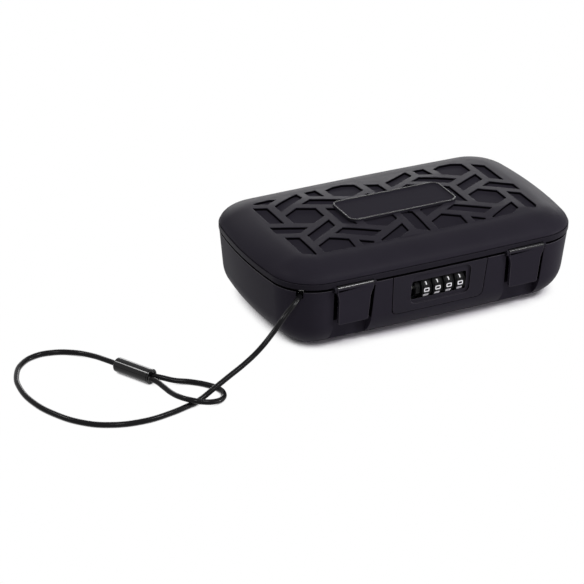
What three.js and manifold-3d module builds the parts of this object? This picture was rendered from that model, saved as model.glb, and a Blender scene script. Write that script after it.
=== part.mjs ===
// A portable car safe with a number lock, two pull latches and a coated cable with an eye.
// Millimetres, +Z up, the lock faces -Y, the origin is under the middle of the case.
import * as THREE from 'three';
import { mergeVertices } from 'three/addons/utils/BufferGeometryUtils.js';
import Module from 'manifold-3d';

const wasm = await Module();
wasm.setup();

// Clearance between neighbours, and how far a cut runs past the face that it opens
const gap = 0.3;
const overrun = 5;

// Outline of the case at the lid rim, seen from above
const caseLength = 240;
const caseWidth = 140;
const cornerRadius = 32;
const sideBowHeight = 1.9;
const endBowHeight = 8.3;

// Heights
const seamHeight = 50;
const seamGap = 1.2;
const rimHeight = 4;
const shoulderRise = 11;
const crownRise = 3.9;

// Base shell
const baseReveal = 0.5;
const baseDraftDepth = 4.9;
const bottomRadius = 22.4;
const baseWall = 4;
const floorThickness = 4;

// Lid
const rimWidth = 4.2;
const coverReveal = 0.6;
const coverWall = 3.6;
const panelInset = 23;
const shoulderPower = 1.68;
const roofThickness = 4;

// Tread cells on the lid: the distance between rib centre lines at a corner, the rib and the depth
const cellEdgeLength = 17.1;
const ribWidth = 5.9;
const cellDepth = 1.8;
const cellCornerRadius = 1.6;
const patternOffsetX = -66.9;
const patternOffsetY = 9;
const smallestCellWidth = 8;

// Name plate
const plateLength = 86;
const plateWidth = 33;
const plateRadius = 6;
const plateSeatDepth = 2.1;
const plateBodyThickness = 1.6;
const plateEdgeWidth = 1.3;
const plateEdgeRise = 0.8;

// Latches
const latchShiftWidth = 11;
const latchTopWidth = 27.8;
const latchBottomWidth = 24.4;
const latchDrop = 28.2;
const latchThickness = 3;
const latchCornerRadius = 1.5;
const latchPinDrop = 0.1;
const latchPinRadius = 0.8;
const barrelRadius = 2.3;
const hookDrop = 20;
const hookHeight = 2;
const hookReach = 3;
const catchHeight = 2.5;
const lugWidth = 1.8;
const channelTopWidth = 30;
const channelBottomWidth = 26.6;
const channelDepth = 6.5;
const channelSlopeDepth = 7;
const channelWall = 3;

// How far the latches and the hinge knuckles stand out past the case, alike at front and back
const reachDepth = 1.7;

// Rear hinge
const hingeEndInset = 58;
const hingeWidth = 24;
const lidKnuckleWidth = 11;
const knuckleRadius = 2.1;
const hingePinRadius = 0.8;

// Lock plate
const lockPlateTopWidth = 74.8;
const lockPlateBottomWidth = 71.8;
const lockPlateDrop = 31.5;
const lockPlateRadius = 4.5;
const lockPlateThickness = 2.4;
const dishWidth = 46.8;
const dishHeight = 23.4;
const dishShift = 1.1;
const dishRadius = 4.5;
const dishDepth = 0.6;
const dishDrop = 2.4;
const windowWidth = 43;
const windowDepthBelowAxis = 5.5;
const windowHeightAboveAxis = 8.4;
const windowRadius = 1.5;

// Number wheels
const wheelCount = 4;
const digitCount = 10;
const wheelPitch = 8.9;
const wheelWidth = 7.2;
const wheelShift = 3.5;
const facetRadius = 7.8;
const ridgeRadius = 8.3;
const wheelProudHeight = 0.3;
const axisDrop = 16.5;
const shaftRadius = 1.5;
const collarWidth = 3.6;
const collarRadius = 5.9;
const collarRidgeRadius = 6.4;
const collarGap = 0.6;

// Lock housing
const housingWidth = 60;
const housingBackDepth = 31.7;
const housingWall = 2.2;
const housingTopDrop = 0.6;
const housingTopWall = 1.5;
const housingFloorDrop = 25.9;
const housingFloorWall = 2;
const padDepth = 7.5;
const padWidth = 91;
const earWidth = 15;
const earThickness = 2.5;
const earTopDrop = 3;
const earBottomDrop = 24;
const lockScrewX = 40.5;
const lockScrewDrops = [7, 19];
const lockScrewShank = 5.3;

// Bolt, its spring and its guides
const boltThickness = 3.5;
const springRoomLength = 10.8;
const strikeRoomLength = 2;
const boltSetback = 23.6;
const boltDrop = 6.5;
const guideWidth = 2;
const guideInset = 2.5;
const guideEndInset = 4;
const guideWall = 1.7;
const springTurns = 5;
const springRadius = 1.5;
const springWireRadius = 0.35;
const detentThickness = 0.4;
const detentStripWidth = 3;
const detentFingerLength = 12;
const detentFingerWidth = 5;

// Strike under the lid
const strikeEndInset = 5.8;
const strikeThickness = 2.4;
const strikeWidth = 9.5;
const strikeTipDrop = 14.5;
const strikeWindowWidth = 5.5;
const flangeLength = 20;
const flangeWidth = 11;
const flangeThickness = 2;
const bossDrop = 2.5;
const bossMargin = 1;
const strikeSlotMargin = 2;
const strikeScrewOffset = 6;
const strikeScrewShank = 4.5;
const strikeScrewDrop = 0.3;

// Screws
const screwHeadRadius = 2.6;
const screwHeadHeight = 2;
const screwShankRadius = 1.3;

// Foam mat on the floor
const matInset = 25.5;
const matThickness = 2.5;

// Cable, its notch, stop and ferrule
const cableRadius = 1.9;
const cableSides = 8;
const notchAngle = 230;
const notchHalfWidth = 2.5;
const cableDrop = 4;
const stopLength = 9;
const stopRadius = 3.6;
const stopSetback = 1;
const shelfWidth = 12;
const shelfThickness = 4;
const shelfReach = 12;
const ferruleRadius = 5.1;
const ferruleRoundRadius = 1.2;
const collarRingRadius = 5.35;
const collarRingLength = 1.6;
const leadStepLength = 9;
const eyeStepLength = 8;

// The cable's route, from the notch over the floor to the ferrule, and round the eye
const leadRoute = [
  [-102.4, -57.3, 46], [-105.8, -61.3, 46], [-109.6, -64.6, 45.2], [-120.6, -69.4, 40],
  [-129.9, -71.4, 31.8], [-142.6, -75, 23.5], [-155, -79.2, 16.5], [-168.4, -83.4, 11],
  [-181.4, -87.5, 6.4], [-195, -91.8, 2.4], [-203.4, -94.4, 2], [-216, -98, 2],
  [-239, -100.5, 2], [-261.3, -95.2, 2], [-275.8, -84.9, 2], [-287.6, -67.9, 2],
  [-293.9, -47.2, 2], [-295, -25.8, 2], [-291.2, -9.2, 2], [-282.3, 5.3, 2],
  [-271, 11.2, 2], [-259.2, 11, 2], [-246.2, 5.2, 2.1], [-236.2, -7, 3.3],
  [-230.9, -19.5, 4.9], [-227.3, -27.5, 5.4],
];
const eyeRoute = [
  [-210.2, -54.4, 5.4], [-206.2, -57.2, 4.7], [-199.4, -61, 3], [-188.8, -66.3, 2],
  [-180.2, -75, 2], [-175.9, -82.6, 2], [-175.6, -89.5, 2], [-179.3, -95.6, 2.1],
  [-186, -98.6, 3], [-194.7, -98.8, 4.9], [-202.2, -95.4, 6.4], [-206.8, -88.4, 6.1],
  [-209.2, -79.4, 5.2], [-210.6, -70.4, 5.2], [-212, -62.4, 5.4], [-214.1, -56.6, 5.4],
];
const ferruleStart = [-227.1, -27.8, 5.4];
const ferruleEnd = [-212.3, -54.7, 5.4];

// Heights and places worked out from the sizes above
const rimBottom = seamHeight + seamGap;
const rimTop = rimBottom + rimHeight;
const coverBottom = rimTop + gap;
const panelEdge = coverBottom + shoulderRise;
const lidTop = panelEdge + crownRise;
const halfLength = caseLength / 2;
const halfWidth = caseWidth / 2;
const latchX = (lockPlateTopWidth / 2 + halfLength) / 2 - latchShiftWidth;
const hingeX = halfLength - hingeEndInset;
const draftAngle = Math.atan(baseDraftDepth / seamHeight);
const hingeY = halfWidth + reachDepth - knuckleRadius;
const hingeZ = seamHeight + seamGap / 2;
const latchPinY = -(halfWidth + reachDepth - barrelRadius);
const latchPinZ = seamHeight - latchPinDrop;
const axisZ = seamHeight - axisDrop;
const axisY = -faceAt(axisZ) - wheelProudHeight + ridgeRadius;
const padY = -(halfWidth - padDepth);
const housingBackY = -(halfWidth - housingBackDepth);
const housingFront = padY + gap;
const housingTop = seamHeight - housingTopDrop;
const housingBottom = seamHeight - housingFloorDrop - housingFloorWall;
const strikeX = housingWidth / 2 - strikeEndInset;
const boltLeft = -housingWidth / 2 + housingWall + springRoomLength;
const boltRight = strikeX - strikeThickness / 2 - strikeRoomLength;
const boltZ = seamHeight - boltDrop - boltThickness;
const boltY = -(halfWidth - boltSetback);
const strikeTipZ = seamHeight - strikeTipDrop;
const cableZ = seamHeight - cableDrop;

// Half the width of the base in the middle of its front, at one height
function faceAt(z) {
  return halfWidth - insetAt(z, 0);
}

// How far the base's wall stands inside the rim's outline at one height, for a skin that much deeper
function insetAt(z, skin) {
  const draft = baseDraftDepth * (1 - z / seamHeight);
  const radius = bottomRadius - skin;
  const below = Math.max(0, bottomRadius - z);
  const round = radius - Math.sqrt(Math.max(0, radius * radius - below * below));
  return baseReveal + draft + skin + round;
}

// The outline is made of two long flat arcs, two end arcs and four corner arcs, all tangent
const sideRadius = (halfLength * halfLength + sideBowHeight * sideBowHeight) / (2 * sideBowHeight);
const endRadius = (halfWidth * halfWidth + endBowHeight * endBowHeight) / (2 * endBowHeight);
const sideCentre = new THREE.Vector2(0, halfWidth - sideRadius);
const endCentre = new THREE.Vector2(halfLength - endRadius, 0);
const corner = cornerCentre();
const endAngle = corner.clone().sub(endCentre).angle();
const sideAngle = corner.clone().sub(sideCentre).angle();

function cornerCentre() {
  const a = sideRadius - cornerRadius;
  const b = endRadius - cornerRadius;
  const apart = endCentre.clone().sub(sideCentre);
  const d = apart.length();
  const along = (a * a - b * b + d * d) / (2 * d);
  const aside = Math.sqrt(a * a - along * along);
  const unit = apart.normalize();
  return sideCentre.clone()
    .addScaledVector(unit, along)
    .addScaledVector(new THREE.Vector2(unit.y, -unit.x), aside);
}

function arcPoints(centre, radius, from, to, steps) {
  return Array.from({ length: steps }, (_, i) => {
    const angle = from + (to - from) * (i / steps);
    return new THREE.Vector2(centre.x + radius * Math.cos(angle), centre.y + radius * Math.sin(angle));
  });
}

// Points of the outline, set in by a distance, anticlockwise from the middle of the +X end
function outline(inset) {
  const quarter = [
    ...arcPoints(endCentre, endRadius - inset, 0, endAngle, 3),
    ...arcPoints(corner, cornerRadius - inset, endAngle, sideAngle, 8),
    ...arcPoints(sideCentre, sideRadius - inset, sideAngle, Math.PI / 2, 4),
  ];
  const top = new THREE.Vector2(0, halfWidth - inset);
  const left = quarter.slice().reverse().map((p) => new THREE.Vector2(-p.x, p.y));
  const half = [...quarter, top, ...left];
  const lower = half.slice(1, -1).map((p) => new THREE.Vector2(-p.x, -p.y));
  return [...half, ...lower];
}

function row(inset, z) {
  return outline(inset).map((p) => new THREE.Vector3(p.x, p.y, z));
}

// A solid through rows of points that lie above one another, closed by a fan at each end
function loft(rows, apex) {
  const count = rows[0].length;
  const positions = rows.flat().flatMap((p) => [p.x, p.y, p.z]);
  const index = [];
  for (let r = 0; r + 1 < rows.length; r += 1) {
    for (let i = 0; i < count; i += 1) {
      const next = (i + 1) % count;
      const a = r * count + i;
      const b = r * count + next;
      index.push(a, b, b + count, a, b + count, a + count);
    }
  }
  const bottom = positions.length / 3;
  const first = (rows.length - 1) * count;
  positions.push(0, 0, rows[0][0].z, 0, 0, apex);
  for (let i = 0; i < count; i += 1) {
    const next = (i + 1) % count;
    index.push(bottom, next, i, bottom + 1, first + i, first + next);
  }
  const geometry = new THREE.BufferGeometry();
  geometry.setAttribute('position', new THREE.Float32BufferAttribute(positions, 3));
  geometry.setIndex(index);
  return solid(geometry);
}

// Joins and cuts work on solids, and every mesh is made from one
function solid(geometry) {
  const bare = geometry.clone();
  bare.deleteAttribute('normal');
  bare.deleteAttribute('uv');
  const merged = mergeVertices(bare, gap / 1000);
  return new wasm.Manifold(new wasm.Mesh({
    numProp: 3,
    vertProperties: new Float32Array(merged.attributes.position.array),
    triVerts: new Uint32Array(merged.index.array),
  }));
}

function join(...parts) {
  return parts.reduce((whole, part) => whole.add(part));
}

function cut(whole, ...tools) {
  return tools.reduce((rest, tool) => rest.subtract(tool), whole);
}

function bar(x0, x1, y0, y1, z0, z1) {
  const geometry = new THREE.BoxGeometry(x1 - x0, y1 - y0, z1 - z0);
  geometry.translate((x0 + x1) / 2, (y0 + y1) / 2, (z0 + z1) / 2);
  return solid(geometry);
}

// The points of a closed path, without a last point that repeats the first
function openLoop(points) {
  const closed = points[0].distanceTo(points[points.length - 1]) < gap / 1000;
  return closed ? points.slice(0, -1) : points;
}

// A shape raised along its own third axis, its curves drawn with that many segments each
function prism(shape, depth, curveSegments) {
  const drawn = shape.extractPoints(curveSegments);
  const plain = new THREE.Shape(openLoop(drawn.shape));
  plain.holes = drawn.holes.map((hole) => new THREE.Path(openLoop(hole)));
  return new THREE.ExtrudeGeometry(plain, { depth, bevelEnabled: false });
}

// A shape drawn in X and Y, raised along Z
function upright(shape, z0, z1) {
  const geometry = prism(shape, z1 - z0, 2);
  geometry.translate(0, 0, z0);
  return solid(geometry);
}

// A shape drawn in X and Z, as seen from the front, from y0 back to y1
function facing(shape, y0, y1) {
  const geometry = prism(shape, y1 - y0, 4);
  geometry.rotateX(Math.PI / 2);
  geometry.translate(0, y1, 0);
  return solid(geometry);
}

// Turns a shape drawn in X and Y to lie in Y and Z, raised along X
function sideways(geometry) {
  return geometry.applyMatrix4(new THREE.Matrix4().makeBasis(
    new THREE.Vector3(0, 1, 0), new THREE.Vector3(0, 0, 1), new THREE.Vector3(1, 0, 0),
  ));
}

// A shape drawn in Y and Z, as seen from the right, from x0 to x1
function across(shape, x0, x1) {
  const geometry = sideways(prism(shape, x1 - x0, 8));
  geometry.translate(x0, 0, 0);
  return solid(geometry);
}

function rodAlongX(radius, x0, x1, y, z, sides = 16) {
  const geometry = new THREE.CylinderGeometry(radius, radius, x1 - x0, sides);
  geometry.rotateZ(Math.PI / 2);
  geometry.translate((x0 + x1) / 2, y, z);
  return solid(geometry);
}

function rodAlongY(radius, y0, y1, x, z, sides = 12) {
  const geometry = new THREE.CylinderGeometry(radius, radius, y1 - y0, sides);
  geometry.translate(x, (y0 + y1) / 2, z);
  return solid(geometry);
}

function rodAlongZ(radius, z0, z1, x, y, sides = 12) {
  const geometry = new THREE.CylinderGeometry(radius, radius, z1 - z0, sides);
  geometry.rotateX(Math.PI / 2);
  geometry.translate(x, y, (z0 + z1) / 2);
  return solid(geometry);
}

function polygon(points) {
  return new THREE.Shape(points.map(([x, y]) => new THREE.Vector2(x, y)));
}

// The most of a side that a rounded corner may take up
const cornerShare = 0.45;

// A closed shape whose corners are rounded by one radius, or by a radius for each corner
function rounded(points, radii) {
  const shape = new THREE.Shape();
  points.forEach((point, i) => {
    const before = points[(i + points.length - 1) % points.length];
    const after = points[(i + 1) % points.length];
    const radius = Array.isArray(radii) ? radii[i] : radii;
    const inward = before.clone().sub(point);
    const outward = after.clone().sub(point);
    const half = Math.acos(inward.dot(outward) / (inward.length() * outward.length())) / 2;
    const room = Math.min(inward.length(), outward.length()) * cornerShare;
    const reachIn = Math.min(radius / Math.tan(half), room);
    const start = point.clone().addScaledVector(inward.normalize(), reachIn);
    const finish = point.clone().addScaledVector(outward.normalize(), reachIn);
    if (i === 0) shape.moveTo(start.x, start.y);
    else shape.lineTo(start.x, start.y);
    if (radius > 0) shape.quadraticCurveTo(point.x, point.y, finish.x, finish.y);
  });
  shape.closePath();
  return shape;
}

function roundedBox(width, height, radius, x, y) {
  const w = width / 2;
  const h = height / 2;
  const corners = [[-w, -h], [w, -h], [w, h], [-w, h]];
  return rounded(corners.map(([dx, dy]) => new THREE.Vector2(x + dx, y + dy)), radius);
}

// A four-sided shape, wide at the top and narrow at the bottom, with rounded lower corners
function tapered(x, topWidth, bottomWidth, top, bottom, radius) {
  const points = [
    new THREE.Vector2(x - topWidth / 2, top), new THREE.Vector2(x - bottomWidth / 2, bottom),
    new THREE.Vector2(x + bottomWidth / 2, bottom), new THREE.Vector2(x + topWidth / 2, top),
  ];
  return rounded(points, [0, radius, radius, 0]);
}

// The outer body of the base, or a smaller one that lies a skin below its face
function baseBody(skin, bottom, top) {
  const steps = 6;
  const low = Array.from({ length: steps + 1 }, (_, i) => {
    const turn = (i / steps) * (Math.PI / 2);
    return bottomRadius - (bottomRadius - skin) * Math.cos(turn);
  });
  const heights = [...low.filter((z) => z >= bottom), top];
  return loft(heights.map((z) => row(insetAt(z, skin), z)), top);
}

function channelFace(z) {
  return -(halfWidth - baseReveal - channelDepth) + (seamHeight - z) * (channelSlopeDepth / seamHeight);
}

// Everything in front of the channel's back face, or of the wall behind it
function inFrontOf(x0, x1, thickness) {
  const top = seamHeight + overrun;
  const front = -(halfWidth + overrun);
  const shape = polygon([
    [front, -overrun], [channelFace(-overrun) + thickness, -overrun],
    [channelFace(top) + thickness, top], [front, top],
  ]);
  return across(shape, x0, x1);
}

function channelCut(x) {
  const top = seamHeight + overrun;
  const flare = (channelTopWidth - channelBottomWidth) * (overrun / seamHeight);
  const shape = tapered(x, channelTopWidth + flare, channelBottomWidth - flare, top, -overrun, 0);
  const width = channelTopWidth;
  const slot = facing(shape, -(halfWidth + overrun), 0).intersect(inFrontOf(x - width, x + width, 0));
  const pocketHalf = latchTopWidth / 2 + lugWidth + 2 * gap;
  const pocket = bar(
    x - pocketHalf, x + pocketHalf, -(halfWidth + overrun), latchPinY + barrelRadius + gap,
    latchPinZ - barrelRadius - gap, top,
  );
  return slot.add(pocket);
}

// The ridge in the channel that the latch's hook meets
function catchRidge(x) {
  const top = latchPinZ - hookDrop + gap + catchHeight;
  const bottom = top - catchHeight;
  const tip = hookTipY() + gap;
  const half = channelBottomWidth / 2 - channelWall;
  const shape = polygon([
    [channelFace(top) + channelWall / 2, top], [tip, top - catchHeight / 3],
    [tip, bottom], [channelFace(bottom) + channelWall / 2, bottom],
  ]);
  return across(shape, x - half, x + half);
}

function hookTipY() {
  return latchPinY - barrelRadius + hookDrop * Math.tan(draftAngle) + latchThickness + hookReach;
}

function lockPlateShape(margin) {
  const top = seamHeight + (margin > 0 ? overrun : -gap);
  const slope = (lockPlateTopWidth - lockPlateBottomWidth) / lockPlateDrop;
  const topWidth = lockPlateTopWidth + (top - seamHeight) * slope + 2 * margin;
  const bottom = seamHeight - lockPlateDrop - margin;
  return tapered(0, topWidth, lockPlateBottomWidth + 2 * margin, top, bottom, lockPlateRadius + margin);
}

// Places a solid built along +X from a corner centre of the case, in the notch's direction
function atNotch(geometry) {
  geometry.rotateZ(THREE.MathUtils.degToRad(notchAngle));
  geometry.translate(-corner.x, -corner.y, 0);
  return solid(geometry);
}

function notchCut() {
  const shape = new THREE.Shape();
  shape.absarc(0, cableZ, notchHalfWidth, Math.PI, 2 * Math.PI, false);
  shape.lineTo(notchHalfWidth, seamHeight + overrun);
  shape.lineTo(-notchHalfWidth, seamHeight + overrun);
  const geometry = sideways(prism(shape, baseWall + 2 * overrun, 8));
  geometry.translate(cornerRadius - baseWall - overrun, 0, 0);
  return atNotch(geometry);
}

function cableShelf() {
  const top = cableZ - stopRadius - gap;
  const outer = cornerRadius - baseWall / 2;
  const inner = outer - baseWall / 2 - shelfReach;
  const geometry = new THREE.BoxGeometry(outer - inner, shelfWidth, shelfThickness);
  geometry.translate((outer + inner) / 2, 0, top - shelfThickness / 2);
  return atNotch(geometry);
}

const wallAtCable = cornerRadius - insetAt(cableZ, baseWall);

function cableStop() {
  const geometry = new THREE.CylinderGeometry(stopRadius, stopRadius, stopLength, 16);
  geometry.rotateZ(Math.PI / 2);
  geometry.translate(wallAtCable - stopSetback - stopLength / 2, 0, cableZ);
  return atNotch(geometry);
}

// The knuckles of one hinge: the base has the outer two, the lid has the middle one
function hingeSpans(x) {
  const outer = hingeWidth / 2;
  const inner = lidKnuckleWidth / 2;
  return {
    lid: [[x - inner, x + inner]],
    base: [[x - outer, x - inner - gap], [x + inner + gap, x + outer]],
  };
}

function knuckles(spans) {
  return spans.map(([x0, x1]) => rodAlongX(knuckleRadius, x0, x1, hingeY, hingeZ, 20));
}

function knuckleRoom(spans) {
  return spans.map(([x0, x1]) => rodAlongX(knuckleRadius + gap, x0 - gap, x1 + gap, hingeY, hingeZ, 20));
}

function hingeBore(x) {
  const half = hingeWidth / 2 + overrun;
  return rodAlongX(hingePinRadius + gap, x - half, x + half, hingeY, hingeZ, 12);
}

const sides = [-1, 1];
const hinges = sides.map((side) => side * hingeX);
const latches = sides.map((side) => side * latchX);

function wheelWindow() {
  const half = windowWidth / 2 + gap;
  return bar(
    -half, half, -(halfWidth + overrun), padY + overrun,
    axisZ - ridgeRadius - gap, axisZ + ridgeRadius + gap,
  );
}

function lockScrewPlaces() {
  return sides.flatMap((side) => lockScrewDrops.map((drop) => [side * lockScrewX, seamHeight - drop]));
}

function baseShell() {
  const cavity = cut(
    baseBody(baseWall, floorThickness, seamHeight + overrun),
    bar(-padWidth / 2, padWidth / 2, -caseWidth, padY, 0, seamHeight + 2 * overrun),
    ...latches.map((x) => inFrontOf(
      x - channelTopWidth / 2 - channelWall, x + channelTopWidth / 2 + channelWall, channelWall,
    )),
    cableShelf(),
  );
  const recess = facing(lockPlateShape(gap), -caseWidth, 0)
    .subtract(baseBody(lockPlateThickness + gap, 0, seamHeight + 2 * overrun));
  const shell = cut(
    baseBody(0, 0, seamHeight), cavity, ...latches.map(channelCut), recess, wheelWindow(), notchCut(),
    ...lockScrewPlaces().map(([x, z]) => rodAlongY(
      screwShankRadius + gap, housingFront + earThickness - lockScrewShank - gap, padY + overrun, x, z,
    )),
  );
  const lips = latches.map((x) => catchRidge(x).subtract(cavity));
  const hinged = hinges.map(hingeSpans);
  const body = join(shell, ...lips, ...hinged.flatMap((spans) => knuckles(spans.base)));
  return cut(body, ...hinged.flatMap((spans) => knuckleRoom(spans.lid)), ...hinges.map(hingeBore));
}

// The rim ring under the cover, with the latch lugs and the lid's hinge knuckles
function lidRim() {
  const outer = loft([row(0, rimBottom), row(0, rimTop)], rimTop);
  const inner = loft([row(rimWidth, rimBottom - overrun), row(rimWidth, rimTop + overrun)], rimTop + overrun);
  const lugRadius = barrelRadius - gap / 3;
  const lugs = latches.flatMap((x) => sides.map((side) => {
    const near = x + side * (latchTopWidth / 2 + gap);
    const far = near + side * lugWidth;
    const x0 = Math.min(near, far);
    const x1 = Math.max(near, far);
    const round = rodAlongX(lugRadius, x0, x1, latchPinY, latchPinZ, 20);
    return round.add(bar(x0, x1, latchPinY, latchPinY + lugRadius, latchPinZ, rimBottom + rimHeight / 3));
  }));
  const room = latches.map((x) => {
    const half = latchTopWidth / 2 + gap;
    return rodAlongX(barrelRadius + gap, x - half, x + half, latchPinY, latchPinZ, 20);
  });
  const bores = latches.map((x) => {
    const half = latchTopWidth / 2 + lugWidth + overrun;
    return rodAlongX(latchPinRadius + gap, x - half, x + half, latchPinY, latchPinZ, 12);
  });
  const hinged = hinges.map(hingeSpans);
  const ring = cut(outer, inner, ...room, ...hinged.flatMap((spans) => knuckleRoom(spans.base)));
  const body = join(ring, ...lugs, ...hinged.flatMap((spans) => knuckles(spans.lid)));
  return cut(body, ...bores, ...hinges.map(hingeBore));
}

// The cover's skin: a shoulder that bends over to the panel, and a crown that rises to the middle
function coverBody(skin, roof, bottom) {
  const steps = 6;
  const rows = [];
  if (bottom < coverBottom) rows.push(row(coverReveal + skin, bottom));
  for (let i = 0; i <= steps; i += 1) {
    const turn = (i / steps) * (Math.PI / 2);
    const inward = 1 - Math.cos(turn) ** (2 / shoulderPower);
    const up = Math.sin(turn) ** (2 / shoulderPower);
    const inset = coverReveal + skin + (panelInset - coverReveal - skin) * inward;
    rows.push(row(inset, coverBottom + (shoulderRise - roof) * up));
  }
  const ring = 3;
  const edge = outline(panelInset);
  for (let i = ring - 1; i > 0; i -= 1) {
    const share = i / ring;
    const z = panelEdge - roof + crownRise * (1 - share * share);
    rows.push(edge.map((p) => new THREE.Vector3(p.x * share, p.y * share, z)));
  }
  return loft(rows, lidTop - roof);
}

function shrink(points, distance) {
  return points.map((point, i) => {
    const before = points[(i + points.length - 1) % points.length];
    const after = points[(i + 1) % points.length];
    const u = point.clone().sub(before).normalize();
    const v = after.clone().sub(point).normalize();
    const sine = u.x * v.y - u.y * v.x;
    return point.clone().addScaledVector(v, distance / sine).addScaledVector(u, -distance / sine);
  });
}

function polar(radius, degrees) {
  const angle = THREE.MathUtils.degToRad(degrees);
  return new THREE.Vector2(radius * Math.cos(angle), radius * Math.sin(angle));
}

// Hexagons and long parallelograms, three of these to a hexagon, on a triangular grid of one edge length
function treadOutlines() {
  const spacing = 3 * cellEdgeLength;
  const stepA = polar(spacing, 30);
  const stepB = polar(spacing, -90);
  const reachCount = Math.ceil(caseLength / spacing);
  const cells = [];
  for (let m = -reachCount; m <= reachCount; m += 1) {
    for (let n = -reachCount; n <= reachCount; n += 1) {
      const centre = new THREE.Vector2(patternOffsetX, patternOffsetY)
        .addScaledVector(stepA, m)
        .addScaledVector(stepB, n);
      if (Math.abs(centre.x) > halfLength + cellEdgeLength) continue;
      if (Math.abs(centre.y) > halfWidth + cellEdgeLength) continue;
      const headings = [30, 90, 150, 210, 270, 330];
      const corners = headings.map((heading) => centre.clone().add(polar(cellEdgeLength, heading)));
      cells.push(corners);
      for (let k = 0; k < 3; k += 1) {
        const heading = 30 + 60 * k;
        const tip = corners[k].clone().add(polar(cellEdgeLength, heading - 60));
        const nextTip = corners[k + 1].clone().add(polar(cellEdgeLength, heading));
        cells.push([corners[k + 1], tip, tip.clone().add(polar(cellEdgeLength, heading)), nextTip]);
      }
    }
  }
  return cells.map((cell) => shrink(cell, ribWidth / 2));
}

function treadCut() {
  const top = lidTop + overrun;
  const bottom = panelEdge - cellDepth - overrun;
  const panel = upright(new THREE.Shape(outline(panelInset)), bottom, top);
  const plate = upright(platePlan(0), bottom, top);
  const floor = coverBody(0, cellDepth, coverBottom);
  const cells = treadOutlines()
    .map((cell) => upright(rounded(cell, cellCornerRadius), bottom, top).intersect(panel).subtract(plate))
    .flatMap((cell) => cell.decompose())
    .map((cell) => cell.subtract(floor))
    .filter((cell) => cell.volume() > smallestCellWidth * cellEdgeLength);
  return join(...cells);
}

function platePlan(margin) {
  return roundedBox(plateLength + 2 * margin, plateWidth + 2 * margin, plateRadius + margin, 0, 0);
}

const plateBottom = lidTop - plateSeatDepth + gap;

function lidCover() {
  const hollow = coverBody(coverWall, roofThickness, coverBottom - overrun);
  const outer = coverBody(0, 0, coverBottom);
  const pocket = upright(platePlan(gap), lidTop - plateSeatDepth, lidTop + overrun);
  const bossX = flangeLength / 2 + bossMargin;
  const bossY = flangeWidth / 2 + bossMargin;
  const strikeY = strikeCentre();
  const boss = bar(
    strikeX - bossX, strikeX + bossX, strikeY - bossY, strikeY + bossY,
    coverBottom + bossDrop, lidTop,
  ).intersect(coverBody(coverWall / 2, roofThickness / 2, coverBottom - overrun));
  const holes = sides.map((side) => rodAlongZ(
    screwShankRadius + gap, coverBottom, strikeScrewTop() + gap, strikeX + side * strikeScrewOffset, strikeY,
  ));
  return cut(join(outer.subtract(hollow), boss), treadCut(), pocket, ...holes);
}

function namePlate() {
  const top = plateBottom + plateBodyThickness;
  const body = upright(platePlan(0), plateBottom, top + plateEdgeRise);
  return body.subtract(upright(platePlan(-plateEdgeWidth), top, top + overrun));
}

function strikeCentre() {
  return boltY + boltThickness / 2;
}

function strikeFlangeTop() {
  return coverBottom + bossDrop - gap;
}

function strikeScrewTop() {
  return strikeFlangeTop() - flangeThickness - strikeScrewDrop + strikeScrewShank;
}

function lockStrike() {
  const top = strikeFlangeTop();
  const y = strikeCentre();
  const flange = bar(
    strikeX - flangeLength / 2, strikeX + flangeLength / 2, y - flangeWidth / 2, y + flangeWidth / 2,
    top - flangeThickness, top,
  );
  const x0 = strikeX - strikeThickness / 2;
  const x1 = strikeX + strikeThickness / 2;
  const tongue = bar(x0, x1, y - strikeWidth / 2, y + strikeWidth / 2, strikeTipZ, top - flangeThickness / 2);
  const z = boltZ + boltThickness / 2;
  const half = strikeWindowWidth / 2;
  const hole = bar(x0 - overrun, x1 + overrun, y - half, y + half, z - half, z + half);
  const screwHoles = sides.map((side) => rodAlongZ(
    screwShankRadius + gap, top - overrun, top + overrun, strikeX + side * strikeScrewOffset, y,
  ));
  return cut(join(flange, tongue), hole, ...screwHoles);
}

function screw(shank) {
  const points = [
    [0, 0], [screwHeadRadius, 0], [screwHeadRadius, screwHeadHeight],
    [screwShankRadius, screwHeadHeight], [screwShankRadius, screwHeadHeight + shank],
    [0, screwHeadHeight + shank],
  ];
  return new THREE.LatheGeometry(points.map(([r, h]) => new THREE.Vector2(r, h)), 12);
}

function lockScrew([x, z]) {
  const geometry = screw(lockScrewShank);
  geometry.rotateX(Math.PI);
  geometry.translate(x, housingFront + earThickness + gap + screwHeadHeight, z);
  return solid(geometry);
}

function strikeScrew(side) {
  const geometry = screw(strikeScrewShank);
  geometry.rotateX(Math.PI / 2);
  const headTop = strikeFlangeTop() - flangeThickness - strikeScrewDrop;
  geometry.translate(strikeX + side * strikeScrewOffset, strikeCentre(), headTop - screwHeadHeight);
  return solid(geometry);
}

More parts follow.
